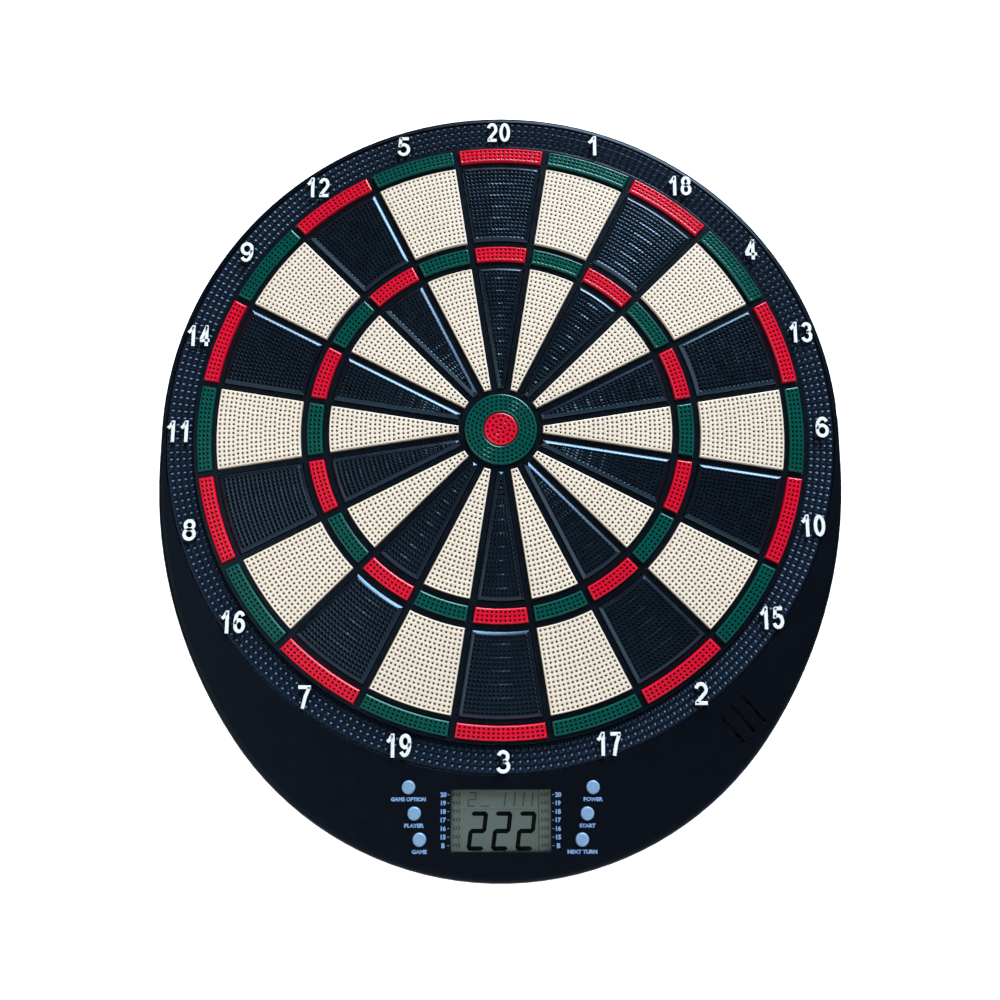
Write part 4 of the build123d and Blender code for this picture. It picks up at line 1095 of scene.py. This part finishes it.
# Soft square lights: name, place, target, size, power and colour.
LIGHTS = (
    ("upper_right_softbox", (1.0, -0.95, 2.75), (0, 0, 0), 1.9, 270.0, (0.74, 0.88, 1.0)),
    ("left_fill", (-1.5, -1.5, -0.5), (0, 0, -0.05), 2.0, 23.0, (1.0, 0.94, 0.86)),
    ("back_fill", (-1.2, 1.9, 1.2), (0, 0, 0), 2.0, 110.0, (1.0, 1.0, 1.0)),
)


class DARTBOARD_OT_camera(bpy.types.Operator):
    """Set the camera below the bull, looking a little upwards"""
    bl_idname = "dartboard.camera"
    bl_label = "Camera"

    def execute(self, context):
        data = bpy.data.cameras.new("front_camera")
        data.lens = CAMERA_LENS
        data.sensor_width = 36.0
        data.clip_start = 0.01
        data.dof.use_dof = False
        camera = bpy.data.objects.new("front_camera", data)
        context.scene.collection.objects.link(camera)
        camera.location = (CAMERA_RIGHT, -SEGMENT_FACE - CAMERA_DISTANCE, CAMERA_UP)
        camera.rotation_euler = Vector(CAMERA_AIM).to_track_quat("-Z", "Y").to_euler()
        context.scene.camera = camera
        return {"FINISHED"}


def area_light(name, place, target, size, power, tint):
    """A square soft light that faces a point."""
    data = bpy.data.lights.new(name, "AREA")
    data.size = size
    data.energy = power
    data.color = tint
    lamp = bpy.data.objects.new(name, data)
    bpy.context.scene.collection.objects.link(lamp)
    lamp.location = place
    lamp.rotation_euler = (Vector(target) - Vector(place)).to_track_quat("-Z", "Y").to_euler()


def flat_sheet(name, corners, material):
    """A flat four-cornered sheet of the stage."""
    mesh = bpy.data.meshes.new(name)
    mesh.from_pydata(corners, [], [(0, 1, 2, 3)])
    mesh.materials.append(material)
    sheet = bpy.data.objects.new(name, mesh)
    bpy.context.scene.collection.objects.link(sheet)
    return sheet


def one_sided_material():
    """Pale wall paint that only the camera in front sees: it is clear from behind and to every
    other ray, so the board's back is lit and can be looked at."""
    material, tree, shader = start_material("pale_wall")
    set_inputs(tree, shader, {
        "Base Color": (0.9, 0.9, 0.9), "Roughness": 0.9, "Specular IOR Level": 0.0,
        "Emission Color": (1.0, 1.0, 1.0), "Emission Strength": 0.75})
    clear = tree.nodes.new("ShaderNodeBsdfTransparent")
    side = tree.nodes.new("ShaderNodeNewGeometry")
    path = tree.nodes.new("ShaderNodeLightPath")
    mix = tree.nodes.new("ShaderNodeMixShader")
    front = math_node(tree, "SUBTRACT", 1.0, side.outputs["Backfacing"])
    shown = math_node(tree, "MULTIPLY", front, path.outputs["Is Camera Ray"])
    tree.links.new(shown, mix.inputs[0])
    tree.links.new(clear.outputs[0], mix.inputs[1])
    tree.links.new(shader.outputs[0], mix.inputs[2])
    output = next(node for node in tree.nodes if node.type == "OUTPUT_MATERIAL")
    tree.links.new(mix.outputs[0], output.inputs["Surface"])
    return material


def studio_world():
    """Pale surroundings to look at, which light the board only a little."""
    world = bpy.data.worlds.new("studio")
    world.use_nodes = True
    tree = world.node_tree
    background = tree.nodes["Background"]
    background.inputs["Color"].default_value = (0.93, 0.95, 1.0, 1.0)
    path = tree.nodes.new("ShaderNodeLightPath")
    strength = remap(tree, path.outputs["Is Camera Ray"], 0.0, 1.0, 0.06, 0.82)
    tree.links.new(strength, background.inputs["Strength"])
    return world


class DARTBOARD_OT_stage(bpy.types.Operator):
    """Set up the pale floor, the pale wall and the soft lights"""
    bl_idname = "dartboard.stage"
    bl_label = "Stage"

    def execute(self, context):
        scene = context.scene
        scene.view_settings.view_transform = "Standard"
        low, half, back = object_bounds()[0][2] - FLOOR_DROP, STAGE_HALF, WALL_BEHIND
        paint, tree, shader = start_material("pale_floor")
        set_inputs(tree, shader, {"Base Color": (0.46, 0.45, 0.43), "Roughness": 0.9})
        floor = flat_sheet("floor", [(-half, -half, low), (half, -half, low),
                                     (half, half, low), (-half, half, low)], paint)
        wall = flat_sheet("wall", [(-half, back, low), (half, back, low),
                                   (half, back, half), (-half, back, half)],
                          one_sided_material())
        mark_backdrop(floor, wall)
        scene.world = studio_world()
        for light in LIGHTS:
            area_light(*light)
        return {"FINISHED"}


# ---------------- panel and registration

class DARTBOARD_PT_panel(bpy.types.Panel):
    """Lists the dartboard's pieces, sizes and colours"""
    bl_idname = "DARTBOARD_PT_panel"
    bl_label = "Dartboard"
    bl_space_type = "VIEW_3D"
    bl_region_type = "UI"
    bl_category = "Dartboard"

    def draw(self, context):
        for operator in OPERATORS:
            self.layout.operator(operator.bl_idname)
        for group in (context.scene.dartboard_sizes, context.scene.dartboard_colours):
            for name in group.__annotations__:
                self.layout.prop(group, name)


OPERATORS = (
    DARTBOARD_OT_camera,
    DARTBOARD_OT_stage,
    DARTBOARD_OT_finishes,
    DARTBOARD_OT_segments,
    DARTBOARD_OT_bulls,
    DARTBOARD_OT_number_ring,
    DARTBOARD_OT_numerals,
    DARTBOARD_OT_legends,
    DARTBOARD_OT_display,
)
CLASSES = (DartboardSizes, DartboardColours, *OPERATORS, DARTBOARD_PT_panel)


def register():
    """Adds the classes and the scene's settings."""
    for item in CLASSES:
        bpy.utils.register_class(item)
    bpy.types.Scene.dartboard_sizes = bpy.props.PointerProperty(type=DartboardSizes)
    bpy.types.Scene.dartboard_colours = bpy.props.PointerProperty(type=DartboardColours)


def unregister():
    """Takes the settings and classes away again."""
    del bpy.types.Scene.dartboard_colours
    del bpy.types.Scene.dartboard_sizes
    for item in reversed(CLASSES):
        bpy.utils.unregister_class(item)


def main():
    """Builds everything in order."""
    register()
    for operator in OPERATORS:
        getattr(bpy.ops.dartboard, operator.bl_idname.split(".")[1])()


if __name__ == "__main__":
    main()
